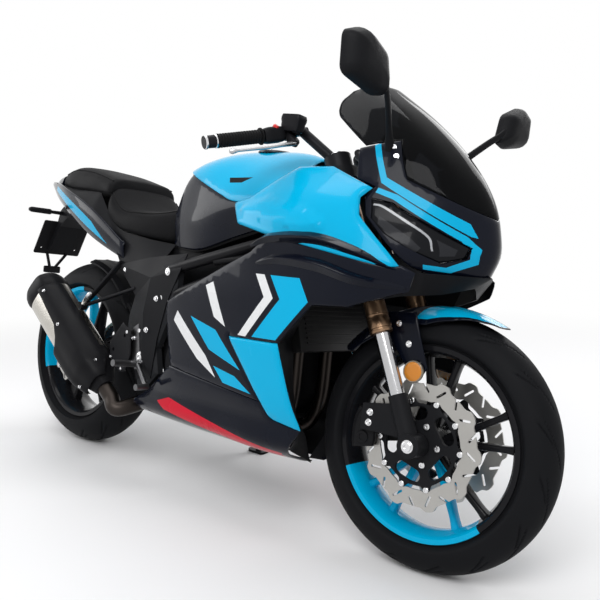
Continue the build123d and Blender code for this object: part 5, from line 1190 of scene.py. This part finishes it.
def lofted(rings):
    """Closed skin over rings of equally many points, each end drawn to its own middle."""
    rings = np.asarray(rings, float)
    caps = [np.broadcast_to(r.mean(0), r.shape)[None] for r in (rings[0], rings[-1])]
    rings = np.concatenate([caps[0], rings, caps[1]])
    return rings.reshape(-1, 3), grid(len(rings), rings.shape[1], False, True), 0


def across_at(x, ring):
    """A ring of (y, z) points set across the bike at x."""
    return np.stack([0 * ring[:, 0] + x, ring[:, 0], ring[:, 1]], 1)


head = rounded(MIRROR_HEAD, 0.2, 7) - MIRROR_MIDDLE
HOUSING = [(1331.5, 0.93), (1331, 0.97), (1334, 1.0), (1342, 0.985), (1352, 0.93), (1362, 0.82),
           (1370, 0.66), (1374, 0.45)]
mirror_glass = finish("mirror_glass", (0.72, 0.75, 0.78), (0.80, 0.82, 0.85), 0.05, metal=1.0, scale=200,
                      bump=0.0, spread=0.02)
housings, glasses = [], []
for s in (-1, 1):
    ring_at = lambda x, share: across_at(x, (MIRROR_MIDDLE + head * share) * (s, 1))
    housings.append(lofted([ring_at(x, share) for x, share in HOUSING]))
    stalk = flowing([(1284, s * 132, 952), (1300, s * 166, 988), (1330, s * 222, 1040),
                     (1350, s * 268, 1076), (1354, s * 296, 1096)], 24)
    width = np.interp(np.linspace(0, 1, 24), [0, 0.08, 0.3, 0.7, 1], [22, 16, 9, 8, 16])
    housings.append(swept(stalk, oval(20, 2.6), np.stack([width, 0.55 * width + 1.5], 1), up=(1, 0, 0.2)))
    glasses.append(lofted([ring_at(1331.2, 0.90), ring_at(1330.2, 0.90)]))
piece("mirror_housings", housings, [black_plastic], "chassis", ("mirrors",))
piece("mirror_panes", glasses, [mirror_glass], "chassis", ("mirror_glasses",))

# Tank: a cyan cover over the fuel tank, black knee covers under its edge and a round filler lid. The
# surface runs from foot to foot over the top, eased through a table of widths and heights along the bike.
TANK = np.array([(508.3, 104, 704, 110, 790, 88, 838, 852), (514, 106, 704, 113, 796, 90, 866, 888),
                 (526, 112, 702, 118, 798, 92, 894, 918), (545, 120, 700, 126, 802, 98, 916, 946),
                 (580, 130, 697, 137, 808, 107, 928, 965), (650, 146, 694, 154, 815, 118, 940, 984),
                 (820, 150, 738, 176, 832, 116, 940, 993), (960, 150, 776, 180, 846, 112, 928, 978),
                 (1046, 140, 802, 170, 852, 104, 905, 944)], float)
TANK_WAYS = np.array([-335, -235, -115, 0, 115, 235, 335], float)
TANK_EDGE = np.array([(480, 948), (540, 930), (806, 836), (1080, 800)], float)


def tank_skin(depth=0):
    """The tank over (x, way across): right foot, waist, shoulder, top and the same down the left."""
    def surface(x, way):
        table = np.stack([eased(TANK[:, 0], column, x) for column in TANK[:, 1:].T], 1)
        y = eased(TANK_WAYS, table[:, [0, 2, 4, 0, 4, 2, 0]] * (-1, -1, -1, 0, 1, 1, 1), way)
        z = eased(TANK_WAYS, table[:, [1, 3, 5, 6, 5, 3, 1]], way)
        return np.stack([x, y * (1 - depth / 160), z - depth * 0.3], 1)
    return surface


def tank_ways(spots):
    """For points in side view, the way across on the right of the tank that reaches that height."""
    spots = np.asarray(spots, float)
    ways = np.linspace(-335, 0, 121)
    high = tank_skin()(np.repeat(spots[:, 0], 121),
                       np.tile(ways, len(spots)))[:, 2].reshape(len(spots), 121)
    return np.array([(x, np.interp(z, np.maximum.accumulate(line), ways))
                     for (x, z), line in zip(spots, high)])


edge_x = np.linspace(1046, 512, 40)
lower_edge = tank_ways(np.stack([edge_x, np.interp(edge_x, TANK_EDGE[:, 0], TANK_EDGE[:, 1])], 1))
front_z = np.linspace(962, 812, 14)
front_edge = tank_ways(np.stack([1066 - (front_z - 790) * 76 / 178, front_z], 1))
right_edge = np.concatenate([[(996, 0)], front_edge, lower_edge[3:-4], [(519, -70), (516, 0)]])
tank_top = whole(right_edge, (1, -1))
duct = tank_ways([(777, 899), (868, 899), (835, 884), (786, 884)])
cover = trimmed(tank_skin(), tank_top, [(duct, 1), (duct * (1, -1), 1)], step=12, roll=4)
piece("fuel_tank_cover", [cover], [blue_paint, black_plastic], "chassis", ("tank",), wall=3.5,
      sharp=40)
foot_x = np.linspace(516, 1040, 30)
knee_edge = np.concatenate([lower_edge[2:-5] + (0, 1), tank_ways([(514, 800), (514, 760)]),
                            np.stack([foot_x, 0 * foot_x - 333], 1)])
knee = trimmed(tank_skin(2), knee_edge, step=12, roll=4)
piece("tank_knee_covers", [knee, other_side(knee)], [gloss_black], "chassis",
      ("knee_cover",), wall=3.5, sharp=40)
core_rings = [np.concatenate([line, [line[-1] * (1, 0.5, 1), line[-1] * (1, 0, 1), line[0] * (1, 0.5, 1)]])
              for line in (tank_skin(14)(np.full(41, x), np.linspace(-333, 333, 41))
                           for x in np.linspace(512, 970, 22))]
piece("tank_core", [lofted(core_rings)], [black_plastic], "chassis")
cap_alloy = finish("cap_alloy", (0.03, 0.03, 0.033), (0.045, 0.045, 0.05), 0.3, metal=0.7,
                   scale=900, bump=0.08)
dress(cap_alloy, "filler_lid")
ring_spot = np.array([800, 0, 986.5])
FILLER_RING = [(0, 54), (0.6, 54), (1, 52), (1, 44), (0, 43.5)]
filler_ring = lathed(ring_spot, ring_spot + (0, 0, 6), FILLER_RING, 48)
piece("filler_ring", [filler_ring], [cap_alloy], "chassis")
ring_bolts = [bolt(ring_spot + (48 * cos(t), 48 * sin(t), 5), (0, 0, 1), 3, 3)
              for t in (1.2, 1.9, 4.4, 5.1)]
piece("filler_ring_bolts", ring_bolts, [bright_steel], "chassis")

# Seats: a rider's saddle and a higher pillion pad, foam under grained black vinyl with a piped edge.
# Each is a rounded section eased along the bike, drawn in at both ends like stretched cover.
seat_vinyl = finish("seat_vinyl", (0.0045, 0.0045, 0.0052), (0.008, 0.008, 0.0088), 0.55, scale=1500,
                    bump=0.45, shine=DULL)
SADDLE = np.array([(202, 146, 778, 144, 848, 112, 884), (260, 146, 738, 145, 800, 116, 826),
                   (360, 140, 718, 138, 786, 102, 806), (450, 122, 708, 118, 790, 80, 812),
                   (508, 104, 704, 98, 796, 60, 832)], float)
PILLION = np.array([(-196, 66, 884, 64, 918, 44, 938), (-90, 100, 862, 96, 926, 70, 953),
                    (70, 124, 852, 120, 914, 92, 938), (201.7, 140, 846, 134, 884, 106, 906)], float)


def padded_seat(table, crown):
    """Rings of foot, side, edge and crown points, rounded, along the bike. The ends draw in by a circle's
    share."""
    long = table[-1, 0] - table[0, 0]
    t = np.concatenate([[0, 0.004, 0.014, 0.03], np.linspace(0.06, 0.94, 34), [0.97, 0.986, 0.996, 1]])
    x = table[0, 0] + long * t
    near = np.minimum(x - table[0, 0], table[-1, 0] - x)
    draw = np.sqrt(np.maximum(1 - (1 - np.clip(near / 16, 0, 1)) ** 2, 0)) * 0.14 + 0.86
    rows = np.stack([eased(table[:, 0], column, x) for column in table[:, 1:].T], 1)
    rings = []
    for spot, (f, fz, s, sz, e, ez), d in zip(x, rows, draw):
        outline = np.array([(-f, fz), (-s, sz), (-e, ez), (0, ez + crown), (e, ez), (s, sz), (f, fz)])
        ring = rounded(outline, 0.36, 6)
        middle = np.array([0, fz + 0.45 * (ez - fz)])
        ring = middle + (ring - middle) * d
        rings.append(across_at(spot, ring))
    return lofted(rings)


def piping(table, side):
    """Cord along the seat's edge line, between side and top."""
    x = np.linspace(table[0, 0] + 10, table[-1, 0] - 8, 40)
    half, high = (eased(table[:, 0], 0.5 * (table[:, a] + table[:, b]), x) for a, b in ((3, 5), (4, 6)))
    return swept(np.stack([x, side * (half + 0.5), high + 0.5], 1), oval(8), [2.0] * 40)


saddle = piece("rider_saddle", [padded_seat(SADDLE, 4)], [seat_vinyl], "chassis",
               ("saddle",), sharp=60)
pillion = piece("pillion_pad", [padded_seat(PILLION, 4)], [seat_vinyl], "chassis",
                ("pillion",), sharp=60)
piece("seat_piping", [piping(table, s) for table in (SADDLE, PILLION) for s in (-1, 1)], [grip_rubber],
      "chassis")

# Side covers: facetted black castings over the pivot plates, panels under the seat edge and the box between
# them. The covers are flat facets between named corners; the panels are ruled; the box is lofted.
COVER = np.array([(321, -157, 632), (480, -160, 663), (650, -166, 684), (640, -176, 640), (596, -181, 539),
                  (568, -181, 430), (552, -179, 313), (484, -178, 301), (436, -172, 392), (397, -160, 439),
                  (400, -160, 480), (428, -166, 544), (338, -157, 612), (520, -186, 604), (508, -193, 499),
                  (520, -190, 372)], float)
COVER_FACETS = np.array([(0, 1, 13), (1, 2, 13), (2, 3, 13), (3, 4, 13), (4, 14, 13), (4, 5, 14),
                         (5, 15, 14), (5, 6, 15), (6, 7, 15), (7, 8, 15), (8, 14, 15), (8, 9, 14),
                         (9, 10, 14), (10, 11, 14), (11, 13, 14), (11, 12, 13), (12, 0, 13)])
corners = COVER[COVER_FACETS]
facing = np.cross(corners[:, 1] - corners[:, 0], corners[:, 2] - corners[:, 0])[:, 1] < 0
cover_right = COVER, np.where(facing[:, None], COVER_FACETS, COVER_FACETS[:, ::-1]), 0
piece("frame_side_covers", [cover_right, other_side(cover_right)], [dark_casting], "chassis",
      sharp=8, wall=4)
COVER_BOLTS = [(590, -181, 627), (556, -187, 546), (528, -191, 452), (360, -160, 618)]
cover_bolts = [bolt(np.array(spot) * (1, -s, 1), (0, s, 0), 6, 5) for spot in COVER_BOLTS for s in (-1, 1)]
piece("cover_bolts", cover_bolts, [bright_steel], "chassis")
HEEL_PLATE = [(424, 462), (466, 440), (474, 372), (452, 318), (424, 312), (374, 352), (366, 396)]
HEEL_HOLES = [(388, 376), (440, 424)]
heel = trimmed(lambda x, z: np.stack([x, 0 * x - 199, z], 1), HEEL_PLATE,
               [(np.array(spot) + rounded([(-6, -6), (6, -6), (6, 6), (-6, 6)], 0.5, 4), None)
                for spot in HEEL_HOLES], step=9, roll=2)
piece("heel_plate", [heel], [dark_casting], "chassis", wall=5)
heel_bolts = [bolt((x, -198, z), (0, -1, 0), 5, 5) for x, z in ((452, 436), (436, 324), (380, 352))]
piece("heel_plate_bolts", heel_bolts, [bright_steel], "chassis")
UNDER_LOW = [(-200, -90, 896), (-50, -139, 862), (150, -162, 796), (250, -158, 740), (318, -153, 634),
             (420, -152, 642), (524, -148, 660)]
UNDER_HIGH = [(-196, -66, 892), (-60, -102, 872), (140, -128, 858), (206, -140, 800), (300, -140, 734),
              (430, -122, 716), (520, -104, 708)]
under = ruled(UNDER_LOW, UNDER_HIGH, 4, 60)
piece("seat_side_panels", [under, other_side(under)], [black_plastic], "chassis",
      sharp=40, wall=2)
BOX = [(262, 70, 676, 724), (300, 88, 652, 722), (420, 100, 612, 706), (560, 104, 580, 704),
       (690, 104, 566, 738), (760, 96, 600, 760)]
box_rings = [across_at(x, rounded([(-half, low), (half, low), (half, high), (-half, high)], 0.12, 4))
             for x, half, low, high in BOX]
piece("battery_box", [lofted(box_rings)], [black_plastic], "chassis")
pegs, arms = [], []
for s in (-1, 1):
    foot = np.array([186, s * 186, 486])
    for start in ((424, s * 158, 566), (330, s * 154, 640)):
        arms.append(swept(straight(start, foot, 8), oval(14, 4),
                          np.stack([np.linspace(13, 10, 8), [4.5] * 8], 1), up=(0, 0, 1)))
    arms.append(lathed(foot - (0, s * 10, 0), foot + (0, s * 14, 0), [(0, 13), (1, 13)], 24))
    pegs.append(lathed(foot + (6, s * 4, 4), foot + (58, s * 16, 46),
                       [(0, 7), (0.1, 9), (0.9, 8), (1, 5)], 20))
piece("passenger_peg_arms", arms, [dark_casting], "chassis")
piece("passenger_pegs", pegs, [bright_steel], "chassis")

# Tail: gloss black side cowls with a cyan flash, an end cap with the tail lamp, signals on stalks and the
# plate hanger. Each cowl is a ruled strip between a low and a high line, trimmed with rolled edges.
TAIL = np.array([(-284, 884, 50, 906, 52), (-200, 848, 84, 898, 88), (-50, 786, 124, 866, 140),
                 (150, 704, 148, 800, 164), (330, 646, 150, 700, 156)], float)


def tail_skin(x, share):
    """Right-hand cowl: low line to high line by a share in hundredths, bulged in the middle by a sine."""
    low_z, low_y, high_z, high_y = (eased(TAIL[:, 0], column, x) for column in TAIL[:, 1:].T)
    way = share / 100
    y = low_y + (high_y - low_y) * way + 5 * np.sin(pi * np.clip(way, 0, 1))
    return np.stack([x, -y, low_z + (high_z - low_z) * way], 1)


TAIL_EDGE = [(-284, 0), (-200, 0), (-50, 0), (150, 0), (330, 0), (330, 100), (150, 100), (-50, 100),
             (-200, 100), (-284, 100)]
TAIL_FLASH = [(-180, 46), (-60, 36), (110, 26), (240, 22), (150, 58), (-40, 72), (-180, 78)]
cowl_right = trimmed(tail_skin, TAIL_EDGE, [(TAIL_FLASH, 1)], step=13, roll=5)
END_CAP = [(-196.3, 76.4, 884, 60, 930), (-230, 66, 884, 52, 926), (-260, 52, 886, 44, 918),
           (-278, 44, 887, 38, 911), (-286, 39.7, 888, 34, 908)]


def tail_ring(x, low_half, low, top_half, top, corner, count):
    """A rounded section of the tail at x, with its own half width below and above."""
    return across_at(x, rounded([(-low_half, low), (-top_half, top), (top_half, top), (low_half, low)],
                                corner, count))


piece("tail_side_cowls", [cowl_right, other_side(cowl_right)], [gloss_black, blue_paint], "chassis",
      ("tail_cowls",), wall=4, sharp=40, lining=black_plastic)
piece("tail_end_cap", [lofted([tail_ring(*row, 0.3, 6) for row in END_CAP])], [gloss_black], "chassis")
red_lens = finish("red_lens", (0.42, 0.006, 0.008), (0.50, 0.010, 0.012), 0.14, coat=1.0,
                  scale=1200, bump=0.3)
TAIL_LAMP = [(-285, 37, 889, 33, 907), (-293, 36, 889.5, 32, 906), (-297, 31, 891, 28, 903)]
lamp_rings = [tail_ring(*row, 0.25, 5) for row in TAIL_LAMP]
piece("tail_lamp_lens", [lofted(lamp_rings)], [red_lens], "chassis", ("rear_lamps",))
stalks, signals = [], []
for s in (-1, 1):
    root, tip = np.array([-222, s * 44, 790]), np.array([-222, s * 176, 790])
    stalks.append(lathed(root, root + (0, s * 46, 0), [(0, 7), (1, 6)], 20))
    stalks.append(lathed(root + (0, s * 44, 0), tip, [(0, 6), (0.08, 10), (0.9, 9.5), (1, 6)], 24))
    signals.append(lathed(root + (-3.5, s * 54, 0), tip + (-3.5, -s * 6, 0),
                          [(0, 5), (0.06, 8.6), (0.94, 8), (1, 4)], 24))
piece("signal_stalks", stalks, [black_plastic], "chassis")
piece("signal_lenses", signals, [amber], "chassis")
number_black = finish("number_black", (0.010, 0.010, 0.011), (0.014, 0.014, 0.0155), 0.4, coat=0.1,
                      scale=600, bump=0.08, shine=DULL)
dress(number_black, "plate_holder")
bracket = [swept(straight((-312, s * 40, 640), (-334, s * 12, 588), 5), oval(12, 3), [5] * 5, up=(1, 0, 0))
           for s in (-1, 1)]
pad = rounded([(-34, -13), (34, -13), (34, 13), (-34, 13)], 0.15, 4)
pad_ring = lambda off, share: across_at(-336 + off, (0, 578) + pad * share)
piece("reflector_bracket", bracket + [lofted([pad_ring(2, 1), pad_ring(-3, 1)])], [black_plastic],
      "chassis")
piece("rear_reflector", [lofted([pad_ring(-3, 0.86), pad_ring(-6, 0.84)])], [red_lens],
      "chassis")
